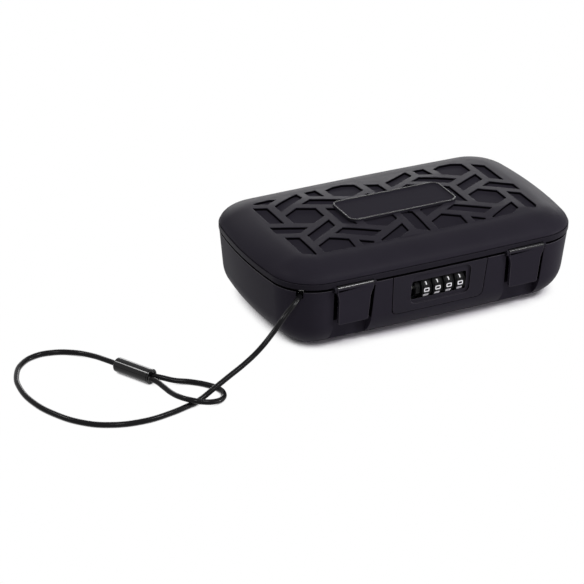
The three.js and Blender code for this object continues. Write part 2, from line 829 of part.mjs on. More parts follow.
// One pull latch: a barrel round its pin, a drafted plate below it and a hook behind
function latch(x) {
  const front = latchPinY - barrelRadius;
  const drift = latchDrop * Math.tan(draftAngle);
  const bottom = latchPinZ - latchDrop;
  const shape = polygon([
    [front, latchPinZ], [front + drift, bottom],
    [front + drift + latchThickness, bottom], [front + latchThickness, latchPinZ],
  ]);
  const half = latchTopWidth / 2;
  const taper = tapered(x, latchTopWidth, latchBottomWidth, latchPinZ, bottom, latchCornerRadius);
  const plate = across(shape, x - half, x + half).intersect(facing(taper, -caseWidth, 0));
  const barrel = rodAlongX(barrelRadius, x - half, x + half, latchPinY, latchPinZ, 24);
  const hookHalf = channelBottomWidth / 2 - channelWall;
  const hookTop = latchPinZ - hookDrop;
  const hook = bar(
    x - hookHalf, x + hookHalf, hookTipY() - hookReach - latchThickness / 2, hookTipY(),
    hookTop - hookHeight, hookTop,
  );
  const bore = rodAlongX(
    latchPinRadius + gap, x - half - overrun, x + half + overrun, latchPinY, latchPinZ, 12,
  );
  return join(plate, barrel, hook).subtract(bore);
}

function latchPin(x) {
  const half = latchTopWidth / 2 + gap + lugWidth;
  return rodAlongX(latchPinRadius, x - half, x + half, latchPinY, latchPinZ, 12);
}

function hingePin(x) {
  const half = hingeWidth / 2;
  return rodAlongX(hingePinRadius, x - half, x + half, hingeY, hingeZ, 12);
}

function windowShape() {
  const middle = axisZ + (windowHeightAboveAxis - windowDepthBelowAxis) / 2;
  return roundedBox(windowWidth, windowHeightAboveAxis + windowDepthBelowAxis, windowRadius, 0, middle);
}

function lockPlate() {
  const top = seamHeight + overrun;
  const slab = facing(lockPlateShape(0), -caseWidth, 0)
    .intersect(baseBody(0, 0, seamHeight))
    .subtract(baseBody(lockPlateThickness, 0, top));
  const dishMiddle = seamHeight - dishDrop - dishHeight / 2;
  const dish = facing(roundedBox(dishWidth, dishHeight, dishRadius, dishShift, dishMiddle), -caseWidth, 0)
    .subtract(baseBody(dishDepth, 0, top));
  const half = windowWidth / 2 + gap;
  const wheelRoom = rodAlongX(ridgeRadius + gap, -half, half, axisY, axisZ, 40);
  return cut(slab, dish, wheelRoom, facing(windowShape(), -caseWidth, 0));
}

// A number wheel: flat facets for the digits, and a ridge between each two of them. One facet faces forward
function wheelShape(facet, ridge, bore) {
  const shape = new THREE.Shape();
  const part = 360 / digitCount;
  const ridgeShare = 1 / 12;
  const flatShare = 1 / 3;
  const flatRadius = facet / Math.cos(THREE.MathUtils.degToRad(part * flatShare));
  for (let k = 0; k < digitCount; k += 1) {
    const middle = 180 + part * (k + 1 / 2);
    const points = [
      polar(ridge, middle - part * ridgeShare), polar(ridge, middle + part * ridgeShare),
      polar(flatRadius, middle + part * (1 / 2 - flatShare)),
      polar(flatRadius, middle + part * (1 / 2 + flatShare)),
    ];
    points.forEach((p, i) => (k === 0 && i === 0 ? shape.moveTo(p.x, p.y) : shape.lineTo(p.x, p.y)));
  }
  shape.closePath();
  const hole = new THREE.Path();
  hole.absarc(0, 0, bore, 0, 2 * Math.PI, true);
  shape.holes.push(hole);
  return shape;
}

function numberWheel(x) {
  const geometry = sideways(prism(wheelShape(facetRadius, ridgeRadius, shaftRadius + gap), wheelWidth, 16));
  geometry.translate(x - wheelWidth / 2, axisY, axisZ);
  return solid(geometry);
}

const wheelPlaces = Array.from({ length: wheelCount }, (_, i) => (
  wheelShift + (i - (wheelCount - 1) / 2) * wheelPitch
));

// A narrow blank wheel beside the first number wheel
function endCollar() {
  const geometry = sideways(prism(
    wheelShape(collarRadius, collarRidgeRadius, shaftRadius + gap), collarWidth, 16,
  ));
  geometry.translate(wheelPlaces[0] - wheelWidth / 2 - collarGap - collarWidth, axisY, axisZ);
  return solid(geometry);
}

function dialShaft() {
  return rodAlongX(shaftRadius, -housingWidth / 2, housingWidth / 2, axisY, axisZ);
}

function boltRoom(x0, x1, margin) {
  return bar(
    x0, x1, boltY - margin, boltY + boltThickness + margin, boltZ - margin, boltZ + boltThickness + margin,
  );
}

function lockHousing() {
  const half = housingWidth / 2;
  const outer = bar(-half, half, housingFront, housingBackY + housingWall, housingBottom, housingTop);
  const inner = bar(
    -half + housingWall, half - housingWall, housingFront - overrun, housingBackY,
    housingBottom + housingFloorWall, housingTop - housingTopWall,
  );
  const ears = sides.map((side) => {
    const x0 = Math.min(side * (half - housingWall / 2), side * (half + earWidth));
    const x1 = Math.max(side * (half - housingWall / 2), side * (half + earWidth));
    return bar(
      x0, x1, housingFront, housingFront + earThickness,
      seamHeight - earBottomDrop, seamHeight - earTopDrop,
    );
  });
  const guides = [boltLeft + guideInset, boltRight - guideEndInset].map((x) => bar(
    x, x + guideWidth, boltY - guideWall, housingBackY + housingWall / 2,
    boltZ - guideWall - gap, boltZ + boltThickness + guideWall + gap,
  ));
  const slot = bar(
    strikeX - strikeThickness / 2 - gap, strikeX + strikeThickness / 2 + gap,
    strikeCentre() - strikeWidth / 2 - strikeSlotMargin,
    strikeCentre() + strikeWidth / 2 + 3 * gap, housingTop - 2 * housingTopWall, housingTop + overrun,
  );
  const holes = lockScrewPlaces().map(([x, z]) => rodAlongY(
    screwShankRadius + gap, housingFront - overrun, housingFront + earThickness + overrun, x, z,
  ));
  const shaftHole = rodAlongX(shaftRadius + gap, -half - overrun, half + overrun, axisY, axisZ);
  const boltPath = boltRoom(boltLeft, half - housingWall - gap, gap);
  return cut(join(outer.subtract(inner), ...ears, ...guides), slot, shaftHole, boltPath, ...holes);
}

function lockBolt() {
  return boltRoom(boltLeft, boltRight, 0);
}

class Coil extends THREE.Curve {
  constructor(length) {
    super();
    this.length = length;
  }

  getPoint(t, target = new THREE.Vector3()) {
    const angle = t * springTurns * 2 * Math.PI;
    return target.set(t * this.length, springRadius * Math.cos(angle), springRadius * Math.sin(angle));
  }
}

function round(radius, count) {
  return new THREE.Shape(Array.from({ length: count }, (_, i) => polar(radius, (360 * i) / count)));
}

function boltSpring() {
  const left = -housingWidth / 2 + housingWall;
  const length = boltLeft - left - 2 * gap - 2 * springWireRadius;
  const geometry = new THREE.ExtrudeGeometry(round(springWireRadius, 5), {
    steps: springTurns * 8, bevelEnabled: false, extrudePath: new Coil(length),
  });
  geometry.translate(left + gap + springWireRadius, boltY + boltThickness / 2, boltZ + boltThickness / 2);
  return solid(geometry);
}

// A leaf spring with one finger under each wheel
function detentSpring() {
  const left = wheelPlaces[0] - detentFingerWidth / 2;
  const right = wheelPlaces[wheelCount - 1] + detentFingerWidth / 2;
  const stripFront = axisY + detentFingerLength - detentStripWidth;
  const z0 = housingBottom + housingFloorWall + gap;
  const strip = bar(left, right, stripFront, stripFront + detentStripWidth, z0, z0 + detentThickness);
  const fingers = wheelPlaces.map((x) => bar(
    x - detentFingerWidth / 2, x + detentFingerWidth / 2, axisY, stripFront + detentStripWidth / 2,
    z0, z0 + detentThickness,
  ));
  return join(strip, ...fingers);
}

function floorMat() {
  const z0 = floorThickness + gap;
  return upright(new THREE.Shape(outline(matInset)), z0, z0 + matThickness);
}

// The free cable, as a tube along its route
function tube(route, step) {
  const path = new THREE.CatmullRomCurve3(route.map(([x, y, z]) => new THREE.Vector3(x, y, z)));
  const steps = Math.round(path.getLength() / step);
  const geometry = new THREE.ExtrudeGeometry(round(cableRadius, cableSides), {
    steps, bevelEnabled: false, extrudePath: path,
  });
  return solid(geometry);
}

// Turns a piece lathed along +Y into the ferrule's direction, from a place on its axis
function alongFerrule(geometry, share) {
  const start = new THREE.Vector3(...ferruleStart);
  const end = new THREE.Vector3(...ferruleEnd);
  const direction = end.clone().sub(start).normalize();
  const turn = new THREE.Quaternion().setFromUnitVectors(new THREE.Vector3(0, 1, 0), direction);
  geometry.applyQuaternion(turn);
  const place = start.lerp(end, share);
  geometry.translate(place.x, place.y, place.z);
  return solid(geometry);
}

function ferrule() {
  const length = new THREE.Vector3(...ferruleStart).distanceTo(new THREE.Vector3(...ferruleEnd));
  const last = length - collarRingLength - gap;
  const points = [
    [0, gap], [ferruleRadius - ferruleRoundRadius, gap], [ferruleRadius, gap + ferruleRoundRadius],
    [ferruleRadius, last], [0, last],
  ];
  return alongFerrule(new THREE.LatheGeometry(points.map(([r, h]) => new THREE.Vector2(r, h)), 20), 0);
}

function ferruleCollar() {
  const points = [
    [0, -collarRingLength], [collarRingRadius, -collarRingLength], [collarRingRadius, -gap], [0, -gap],
  ];
  return alongFerrule(new THREE.LatheGeometry(points.map(([r, h]) => new THREE.Vector2(r, h)), 20), 1);
}

// Finishes, with colours as the photograph shows them
const finishes = {
  shell: { color: 0x2b292f, roughness: 0.62, metalness: 0 },
  rim: { color: 0x1f1e23, roughness: 0.55, metalness: 0 },
  plate: { color: 0x29272c, roughness: 0.5, metalness: 0 },
  wheel: { color: 0x1b1a1d, roughness: 0.45, metalness: 0 },
  steel: { color: 0x8d8f92, roughness: 0.35, metalness: 1 },
  zinc: { color: 0x55575b, roughness: 0.5, metalness: 1 },
  cable: { color: 0x1c1c1f, roughness: 0.35, metalness: 0 },
  sleeve: { color: 0x0b0b0c, roughness: 0.2, metalness: 0 },
  foam: { color: 0x3a3a3d, roughness: 0.95, metalness: 0 },
};

const safe = new THREE.Group();

function piece(name, body, finish) {
  const result = body.getMesh();
  const geometry = new THREE.BufferGeometry();
  geometry.setAttribute('position', new THREE.BufferAttribute(new Float32Array(result.vertProperties), 3));
  geometry.setIndex(new THREE.BufferAttribute(new Uint32Array(result.triVerts), 1));
  geometry.computeVertexNormals();
  const mesh = new THREE.Mesh(geometry, new THREE.MeshStandardMaterial(finishes[finish]));
  mesh.name = name;
  safe.add(mesh);
}

const leftAndRight = ['left', 'right'];

piece('base_shell', baseShell(), 'shell');
piece('lid_cover', lidCover(), 'shell');
piece('lid_rim', lidRim(), 'rim');
piece('name_plate', namePlate(), 'plate');
latches.forEach((x, i) => piece(`latch_${leftAndRight[i]}`, latch(x), 'shell'));
latches.forEach((x, i) => piece(`latch_pin_${leftAndRight[i]}`, latchPin(x), 'steel'));
hinges.forEach((x, i) => piece(`hinge_pin_${leftAndRight[i]}`, hingePin(x), 'steel'));
piece('lock_plate', lockPlate(), 'plate');
piece('lock_housing', lockHousing(), 'zinc');
piece('dial_shaft', dialShaft(), 'steel');
wheelPlaces.forEach((x, i) => piece(`dial_${i + 1}`, numberWheel(x), 'wheel'));
piece('end_collar', endCollar(), 'wheel');
piece('detent_spring', detentSpring(), 'steel');
piece('lock_bolt', lockBolt(), 'steel');
piece('bolt_spring', boltSpring(), 'steel');
lockScrewPlaces().forEach((place, i) => piece(`lock_screw_${i + 1}`, lockScrew(place), 'steel'));
piece('lock_strike', lockStrike(), 'steel');
sides.forEach((side, i) => piece(`strike_screw_${i + 1}`, strikeScrew(side), 'steel'));
piece('floor_mat', floorMat(), 'foam');
piece('cable_stop', cableStop(), 'steel');
piece('cable_lead', tube(leadRoute, leadStepLength), 'cable');
piece('cable_eye', tube(eyeRoute, eyeStepLength), 'cable');
piece('ferrule', ferrule(), 'sleeve');
piece('ferrule_collar', ferruleCollar(), 'sleeve');

export default safe;
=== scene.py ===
# %% [markdown]
# # A portable car safe, dressed round its measured frame
#
# The safe is a black moulded box with a tread pattern on its lid, two pull latches, four number wheels and a
# coated cable that ends in an eye. A measured frame of it comes first. Each piece is then modelled again with
# rounded edges and fine detail, in the same place as its solid in the frame, and gets its finish.

# %% Load the frame
import math

import bmesh
import bpy
import numpy
from mathutils import Matrix, Vector


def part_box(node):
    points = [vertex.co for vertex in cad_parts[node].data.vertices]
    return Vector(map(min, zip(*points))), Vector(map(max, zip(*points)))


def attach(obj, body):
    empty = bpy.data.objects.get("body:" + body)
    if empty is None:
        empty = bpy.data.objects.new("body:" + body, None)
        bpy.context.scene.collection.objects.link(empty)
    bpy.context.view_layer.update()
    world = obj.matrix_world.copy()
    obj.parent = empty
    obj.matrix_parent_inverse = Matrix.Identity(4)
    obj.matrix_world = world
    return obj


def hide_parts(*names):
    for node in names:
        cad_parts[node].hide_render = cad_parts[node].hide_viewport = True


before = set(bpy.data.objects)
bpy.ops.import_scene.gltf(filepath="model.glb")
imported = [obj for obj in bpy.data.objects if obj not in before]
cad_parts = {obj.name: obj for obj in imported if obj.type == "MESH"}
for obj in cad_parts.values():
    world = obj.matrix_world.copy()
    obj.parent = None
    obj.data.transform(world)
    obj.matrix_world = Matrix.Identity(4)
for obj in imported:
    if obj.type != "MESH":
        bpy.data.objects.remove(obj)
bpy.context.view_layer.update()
print("solids in the frame:", len(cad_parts))

# %% [markdown]
# ## The camera
#
# The view is from the front left and above, with a long lens, so the box shows almost no perspective. The camera
# could be aimed by hand until it looks right. Here its turn, its height and its lens were measured from the box's
# corners instead, so that every edge can be compared with the picture.

# %% Camera
MM = 0.001
PICTURE = 584
SENSOR = 36.0


def place_camera(azimuth, elevation, roll, focal_pixels, distance, target):
    azimuth, elevation, roll = [math.radians(angle) for angle in (azimuth, elevation, roll)]
    flat = math.cos(elevation)
    back = Vector((math.sin(azimuth) * flat, -math.cos(azimuth) * flat, math.sin(elevation)))
    level = Vector((math.cos(azimuth), math.sin(azimuth), 0))
    up = back.cross(level)
    right = level * math.cos(roll) + up * math.sin(roll)
    top = up * math.cos(roll) - level * math.sin(roll)
    bpy.ops.object.camera_add()
    camera = bpy.context.object
    camera.name = "camera"
    camera.data.sensor_width = SENSOR
    camera.data.lens = focal_pixels / PICTURE * SENSOR
    turned = Matrix((right, top, back)).transposed().to_4x4()
    camera.matrix_world = Matrix.Translation(target + back * distance) @ turned
    bpy.context.scene.camera = camera
    return camera


camera = place_camera(
    azimuth=-26.85, elevation=27.58, roll=0.99, focal_pixels=2561.6, distance=1771.2 * MM,
    target=Vector((-97.13, -32.88, 34.29)) * MM,
)
print("lens in mm:", round(camera.data.lens, 1))

# %% [markdown]
# ## The cable
#
# A steel cable in a black coat leaves a notch at the front left corner, slopes down to the floor, passes through
# its own eye, runs round in a wide loop and ends in a crimped sleeve that closes the eye. A row of short cylinders
# would kink at each bend. A curve with a round bevel bends smoothly, and its points follow the frame's route.

# %% Cable
CABLE_RADIUS = 1.9 * MM
LEAD_ROUTE = [
    (-102.4, -57.3, 46), (-105.8, -61.3, 46), (-109.6, -64.6, 45.2), (-120.6, -69.4, 38.5),
    (-129.9, -71.4, 29.4), (-142.6, -75, 20.1), (-155, -79.2, 14.8), (-168.4, -83.4, 10.5),
    (-181.4, -87.5, 6.4), (-195, -91.8, 2.4), (-203.4, -94.4, 2), (-216, -98, 2),
    (-239, -100.5, 2), (-261.3, -95.2, 2), (-275.8, -84.9, 2), (-287.6, -67.9, 2),
    (-295, -47.2, 2), (-296.2, -25.8, 2), (-292.2, -9.2, 2), (-282.3, 5.3, 2),
    (-271, 11.2, 2), (-259.2, 11, 2), (-246.2, 5.2, 2.1), (-236.2, -7, 3.3),
    (-230.9, -19.5, 4.9), (-227.3, -27.5, 5.4),
]
SLEEVE_MIDDLE = (-219.7, -41.25, 5.4)
EYE_ROUTE = [
    (-210.2, -54.4, 5.4), (-206.2, -57.2, 4.7), (-199.4, -61, 3), (-188.8, -66.3, 2),
    (-180.2, -75, 2), (-175.9, -82.6, 2), (-175.6, -89.5, 2), (-179.3, -95.6, 2.1),
    (-186, -98.6, 3), (-194.7, -98.8, 4.9), (-202.2, -95.4, 6.4), (-206.8, -88.4, 6.1),
    (-209.2, -79.4, 5.2), (-210.6, -70.4, 5.2), (-212, -62.4, 5.4), (-214.1, -56.6, 5.4),
]


def clear_selection():
    if bpy.context.object and bpy.context.object.mode != "OBJECT":
        bpy.ops.object.mode_set(mode="OBJECT")
    bpy.ops.object.select_all(action="DESELECT")


def work_on(obj):
    clear_selection()
    obj.select_set(True)
    bpy.context.view_layer.objects.active = obj


def tube(name, kind, radius, detail):
    """A curve with a round bevel, and its one spline, which has no points yet."""
    data = bpy.data.curves.new(name, "CURVE")
    data.dimensions = "3D"
    data.bevel_depth = radius
    data.bevel_resolution = detail
    data.use_fill_caps = True
    return data, data.splines.new(kind)


def into_mesh(name, data):
    """Turns a curve into a piece with a mesh."""
    bend = bpy.data.objects.new(name, data)
    bpy.context.scene.collection.objects.link(bend)
    work_on(bend)
    bpy.ops.object.convert(target="MESH")
    return bpy.context.object


def bend_through(name, points, radius):
    """A smooth line through points, or a round tube along it."""
    data, spline = tube(name, "BEZIER", radius, 6)
    data.resolution_u = 10
    spline.bezier_points.add(len(points) - 1)
    for knot, point in zip(spline.bezier_points, points):
        knot.co = Vector(point) * MM
        knot.handle_left_type = knot.handle_right_type = "AUTO"
    return into_mesh(name, data)


cable_route = [*LEAD_ROUTE, SLEEVE_MIDDLE, *EYE_ROUTE]
cable_line = bend_through("cable_line", cable_route, 0)
bpy.data.objects.remove(cable_line)
cable = bend_through("cable", cable_route, CABLE_RADIUS)
bpy.ops.object.shade_smooth_by_angle(angle=math.radians(60))
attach(cable, "base")
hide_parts("cable_lead", "cable_eye")

# %% [markdown]
# ## Sums between sockets
#
# The materials, the floor and the room behind it are nodes. Their sums are written as plain sums: a small class
# turns them into Math nodes, and one method adds every other node.

# %% Sums on sockets
class Wire:
    """An output of a node, which can be used in sums like a number."""

    def __init__(self, shader, socket):
        self.shader = shader
        self.socket = socket

    def sum_up(self, operation, other):
        return self.shader.node("ShaderNodeMath", {"operation": operation}, {0: self, 1: other})

    def __add__(self, other):
        return self.sum_up("ADD", other)

    def __mul__(self, other):
        return self.sum_up("MULTIPLY", other)

    def __or__(self, other):
        return self.sum_up("MAXIMUM", other)

    __radd__ = __add__


class Shader:
    """A tree of nodes and the one way to add to it."""

    def __init__(self, owner):
        owner.use_nodes = True
        self.tree = owner.node_tree

    def node(self, kind, settings, values, output=0):
        """Adds a node: its settings first, then a number or a wire for each of its sockets."""
        made = self.tree.nodes.new(kind)
        for key, value in settings.items():
            setattr(made, key, value)
        for key, value in values.items():
            self.feed(made.inputs[key], value)
        return Wire(self, made.outputs[output])

    def feed(self, socket, value):
        if isinstance(value, Wire):
            self.tree.links.new(value.socket, socket)
        else:
            socket.default_value = value

    def show(self, surface):
        """Makes a shader the one that the tree gives out."""
        last = [node for node in self.tree.nodes if "Surface" in node.inputs and not node.outputs][0]
        self.feed(last.inputs["Surface"], surface)

    def looked_at(self):
        """1 for what the camera sees directly, in a mirror-like surface or through glass."""
        camera_ray, mirror_ray, glass_ray = [
            self.node("ShaderNodeLightPath", {}, {}, kind)
            for kind in ("Is Camera Ray", "Is Glossy Ray", "Is Transmission Ray")
        ]
        return camera_ray | mirror_ray | glass_ray


print("node tools ready")

# %% [markdown]
# ## The room round it
#
# The safe stands on a white table in a white room. A long lamp behind it grazes the lid, so the ribs at the back
# shine while the front stays dark, and four small lamps draw the narrow highlights on barrels, sleeve and cable.
# The table could be lit until it is white, but then its light would grey the black plastic. So the lamps stay at a
# plain level, the table is white where it is looked at, and its own colour with the shadow takes over close to the
# case, where the case hides much of the room.

# %% Lamps
def aim_lamp(name, place, target, size, power):
    bpy.ops.object.light_add(type="AREA", location=place)
    lamp = bpy.context.object
    lamp.name = name
    lamp.data.shape = "RECTANGLE"
    lamp.data.size, lamp.data.size_y = size
    lamp.data.energy = power
    lamp.rotation_euler = (Vector(target) - Vector(place)).to_track_quat("-Z", "Y").to_euler()


aim_lamp("lamp_behind", (0.8, 1.5, 0.35), (0, 0, 0.05), (1.8, 0.4), 14)
aim_lamp("lamp_above", (0.76, -0.95, 1.55), (0, 0, 0.04), (0.35, 0.35), 13)
aim_lamp("lamp_right", (1.6, -1.0, 0.3), (0, 0, 0.04), (0.5, 0.3), 14)
aim_lamp("lamp_left", (-1.28, 0.52, 1.6), (-0.2, -0.04, 0), (0.4, 0.3), 10)
aim_lamp("lamp_front", (-0.5, -1.3, 1.6), (0, 0, 0.04), (0.35, 0.35), 8)
bpy.context.scene.view_settings.view_transform = "Standard"

# %% Room and table
SHADOW_REACH = 30 * MM
LEFT_FROM, LEFT_TO = -80 * MM, -120 * MM
LEFT_SHARE = 0.15
WHITE_FROM, WHITE_TO = 0.2, 0.52


def light_world(strength):
    bpy.context.scene.world = bpy.data.worlds.new("room")
    room = Shader(bpy.context.scene.world)
    soft = room.node("ShaderNodeBackground", {}, {"Color": (0.95, 0.96, 1, 1), "Strength": strength})
    white = room.node("ShaderNodeBackground", {}, {"Color": (1, 1, 1, 1), "Strength": 1})
    room.show(room.node("ShaderNodeMixShader", {}, {0: room.looked_at(), 1: soft, 2: white}))


def lay_table():
    """The shadow is where the case hides the room; it is a little shorter to the left of the case."""
    bpy.ops.mesh.primitive_plane_add(size=8)
    table = bpy.context.object
    table.name = "table"
    table.data.materials.append(bpy.data.materials.new("table_top"))
    top = Shader(table.data.materials[0])
    matt = top.node("ShaderNodeBsdfDiffuse", {}, {"Color": (0.75, 0.71, 0.78, 1)})
    white = top.node("ShaderNodeEmission", {}, {"Color": (1, 1, 1, 1), "Strength": 1})
    place = top.node("ShaderNodeTexCoord", {}, {}, "Object")
    along = top.node("ShaderNodeSeparateXYZ", {}, {0: place}, "X")
    left = top.node("ShaderNodeMapRange", {}, {0: along, 1: LEFT_FROM, 2: LEFT_TO, 4: LEFT_SHARE})
    free = top.node("ShaderNodeAmbientOcclusion", {"samples": 16}, {"Distance": SHADOW_REACH}, "AO")
    away = top.node(
        "ShaderNodeMapRange", {"interpolation_type": "SMOOTHSTEP"}, {0: free + left, 1: WHITE_FROM, 2: WHITE_TO},
    )
    top.show(top.node("ShaderNodeMixShader", {}, {0: top.looked_at() * away, 1: matt, 2: white}))


light_world(0.15)
lay_table()
print("shadow's reach in mm:", round(SHADOW_REACH / MM))

# %% [markdown]
# ## Sizes
#
# The sizes are those of the frame, in millimetres, and the tools that draw multiply them by MM. The outline of the
# case, seen from above, is made of eight arcs that run into one another: two long flat ones, two at the ends and
# four at the corners. Arcs round the same centres give every smaller outline too, so a wall, a lip or a ring can be
# made by spinning one profile.

# %% Sizes
HALF_LENGTH = 120
HALF_WIDTH = 70
CORNER_RADIUS = 32
SIDE_BOW = 1.9
END_BOW = 8.3
SEAM = 50
COVER_BOTTOM = 55.5
PANEL_EDGE = 66.5
CROWN = 3.9
PANEL_INSET = 23
BOTTOM_RADIUS = 22.4
LATCH_X = 67.7
LATCH_PIN = Vector((0, -69.4, 49.9))
HINGE_X = 62
HINGE_PIN = Vector((0, 69.6, 50.6))
WHEEL_AXIS = Vector((0, -59.883, 33.5))
WHEEL_PITCH = 8.9
WHEEL_PLACES = [-9.85 + WHEEL_PITCH * i for i in range(4)]

side_radius = (HALF_LENGTH ** 2 + SIDE_BOW ** 2) / (2 * SIDE_BOW)
end_radius = (HALF_WIDTH ** 2 + END_BOW ** 2) / (2 * END_BOW)
side_centre = side_radius - HALF_WIDTH
end_centre = end_radius - HALF_LENGTH


def corner_centre():
    """The point that lies a corner's radius inside both the side arc and the end arc."""
    a = side_radius - CORNER_RADIUS
    b = end_radius - CORNER_RADIUS
    apart = Vector((-end_centre, -side_centre))
    along = (a * a - b * b + apart.length_squared) / (2 * apart.length)
    aside = math.sqrt(a * a - along * along)
    unit = apart.normalized()
    return Vector((0, side_centre)) + unit * along + Vector((-unit.y, unit.x)) * aside


corner = corner_centre()
half_side = math.atan2(corner.x, side_centre - corner.y)
half_end = math.atan2(-corner.y, corner.x + end_centre)
corner_turn = math.pi / 2 - half_side - half_end

# Each arc's radius, turn, steps in a sweep and steps in a plan
CORNER_ARC = (CORNER_RADIUS, corner_turn, 20, 14)
SIDE_ARC = (side_radius, 2 * half_side, 6, 6)
END_ARC = (end_radius, 2 * half_end, 8, 6)
# From the back right corner to the left, round to the right end
OUTLINE = [
    ((corner.x, -corner.y), CORNER_ARC), ((0, -side_centre), SIDE_ARC),
    ((-corner.x, -corner.y), CORNER_ARC), ((end_centre, 0), END_ARC),
    ((-corner.x, corner.y), CORNER_ARC), ((0, side_centre), SIDE_ARC),
    ((corner.x, corner.y), CORNER_ARC), ((-end_centre, 0), END_ARC),
]
FRONT = 5
print("corner arcs' centre in mm:", round(corner.x, 2), round(corner.y, 2))

# %% [markdown]
# ## Tools for modelling
#
# Everything below is made with the same few moves as by hand: draw a row of points by extruding a vertex, fill it,
# extrude it or spin it, cut one solid with another, and round its edges with a Bevel modifier. These helpers name
# the moves and pick faces and edges by their place. Points typed into a mesh would be shorter, but hard to follow.

# %% Picking and drawing
def pick(obj, kind, test):
    """Enters edit mode and selects the edges or faces that pass a test; gives their number."""
    if bpy.context.view_layer.objects.active is not obj or obj.mode != "EDIT":
        work_on(obj)
        bpy.ops.object.mode_set(mode="EDIT")
    bpy.ops.mesh.select_mode(type=kind)
    bpy.ops.mesh.select_all(action="DESELECT")
    mesh = bmesh.from_edit_mesh(obj.data)
    found = [item for item in {"EDGE": mesh.edges, "FACE": mesh.faces}[kind] if test(item)]
    for item in found:
        item.select_set(True)
    mesh.select_flush_mode()
    bmesh.update_edit_mesh(obj.data)
    return len(found)


def pick_all(obj):
    work_on(obj)
    bpy.ops.object.mode_set(mode="EDIT")
    bpy.ops.mesh.select_mode(type="VERT")
    bpy.ops.mesh.select_all(action="SELECT")


def leave_edit():
    bpy.ops.object.mode_set(mode="OBJECT")


def extrude(offset):
    bpy.ops.mesh.extrude_region_move(TRANSFORM_OT_translate={"value": Vector(offset) * MM})


def draw(name, points, closed=False):
    """Draws a row of points by extruding one vertex from each to the next, and leaves it selected."""
    clear_selection()
    bpy.ops.mesh.primitive_plane_add(size=MM)
    obj = bpy.context.object
    obj.name = obj.data.name = name
    bpy.ops.object.mode_set(mode="EDIT")
    bpy.ops.mesh.select_mode(type="VERT")
    bpy.ops.mesh.select_all(action="SELECT")
    bpy.ops.mesh.merge(type="CENTER")
    bpy.ops.transform.translate(value=points[0] * MM)
    row = [*points, points[0]] if closed else points
    for before, after in zip(row, row[1:]):
        extrude(after - before)
    bpy.ops.mesh.select_all(action="SELECT")
    bpy.ops.mesh.remove_doubles(threshold=0.001 * MM)
    return obj


def face_outwards(obj):
    pick_all(obj)
    bpy.ops.mesh.remove_doubles(threshold=0.002 * MM)
    bpy.ops.mesh.normals_make_consistent(inside=False)
    leave_edit()
    return obj


def prism(name, points, offset):
    """Draws a closed shape, fills it and extrudes it."""
    obj = draw(name, points, closed=True)
    bpy.ops.mesh.edge_face_add()
    extrude(offset)
    return face_outwards(obj)


def upright(name, points, low, high):
    """A prism on a plan of X and Y."""
    return prism(name, [Vector((x, y, low)) for x, y in points], (0, 0, high - low))


def facing(name, points, front, back):
    """A prism on a shape of X and Z, as seen from the front."""
    return prism(name, [Vector((x, front, z)) for x, z in points], (0, back - front, 0))


def across(name, points, left, right):
    """A prism on a shape of Y and Z, as seen from the right."""
    return prism(name, [Vector((left, y, z)) for y, z in points], (right - left, 0, 0))


def turned(name, points, centre, axis, steps, closed=False):
    """Spins a row of points one full turn."""
    obj = draw(name, points, closed)
    bpy.ops.mesh.spin(steps=steps, angle=2 * math.pi, center=Vector(centre) * MM, axis=axis)
    return face_outwards(obj)


def settle(obj, name):
    """Names a new piece and puts its place, turn and size into its mesh."""
    obj.name = obj.data.name = name
    bpy.ops.object.transform_apply(location=True, rotation=True, scale=True)
    return obj


def block(name, *spans):
    """A box that spans from one X, Y and Z to another."""
    clear_selection()
    bpy.ops.mesh.primitive_cube_add(
        size=1, location=[(low + high) / 2 * MM for low, high in spans],
        scale=[(high - low) * MM for low, high in spans],
    )
    return settle(bpy.context.object, name)


def rod(name, radius, start, end, sides=32):
    """A cylinder from one point to another."""
    along = Vector(end) - Vector(start)
    clear_selection()
    bpy.ops.mesh.primitive_cylinder_add(
        vertices=sides, radius=radius * MM, depth=along.length * MM,
        location=(Vector(start) + Vector(end)) / 2 * MM, rotation=along.to_track_quat("Z", "Y").to_euler(),
    )
    return settle(bpy.context.object, name)


def rod_on(axis, name, radius, left, right, sides=40):
    """A cylinder round an axis along X, from one X to another."""
    return rod(name, radius, axis + Vector((left, 0, 0)), axis + Vector((right, 0, 0)), sides)


print("drawing tools ready")

# %% Sweeping a profile round the case
def sweep_round(name, profile, closed=False):
    """Spins a profile that is drawn in the middle of the front round all arcs of the outline."""
    obj = draw(name, profile, closed)
    half_front = (OUTLINE[FRONT][0], (side_radius, half_side, 3, 3))
    for (x, y), (_, turn, steps, _) in [half_front, *OUTLINE[FRONT + 1:], *OUTLINE[:FRONT], half_front]:
        bpy.ops.mesh.spin(steps=steps, angle=turn, center=(x * MM, y * MM, 0), axis=(0, 0, -1))
    bpy.ops.mesh.select_all(action="SELECT")
    bpy.ops.mesh.remove_doubles(threshold=0.01 * MM)
    leave_edit()
    return obj


def on_level(edge, level):
    return all(abs(v.co.z / MM - level) < 0.01 for v in edge.verts)


def close_ends(obj, profile):
    """Fills the open rings at both ends of the profile."""
    for end in (profile[0], profile[-1]):
        pick(obj, "EDGE", lambda e: e.is_boundary and on_level(e, end.z))
        bpy.ops.mesh.edge_face_add()
        leave_edit()
    return face_outwards(obj)


def in_front(inset, z):
    """The point of a profile that lies that far inside the outline."""
    return Vector((0, inset - HALF_WIDTH, z))


def base_inset(z, skin=0.0):
    """How far the base's face, or the skin below it, lies inside the outline at a height."""
    draft = 4.9 * (1 - z / SEAM)
    radius = BOTTOM_RADIUS - skin
    below = max(0, BOTTOM_RADIUS - z)
    return 0.5 + draft + skin + radius - math.sqrt(max(0, radius * radius - below * below))


LEDGE = 49.2
LEDGE_DEPTH = 1.1


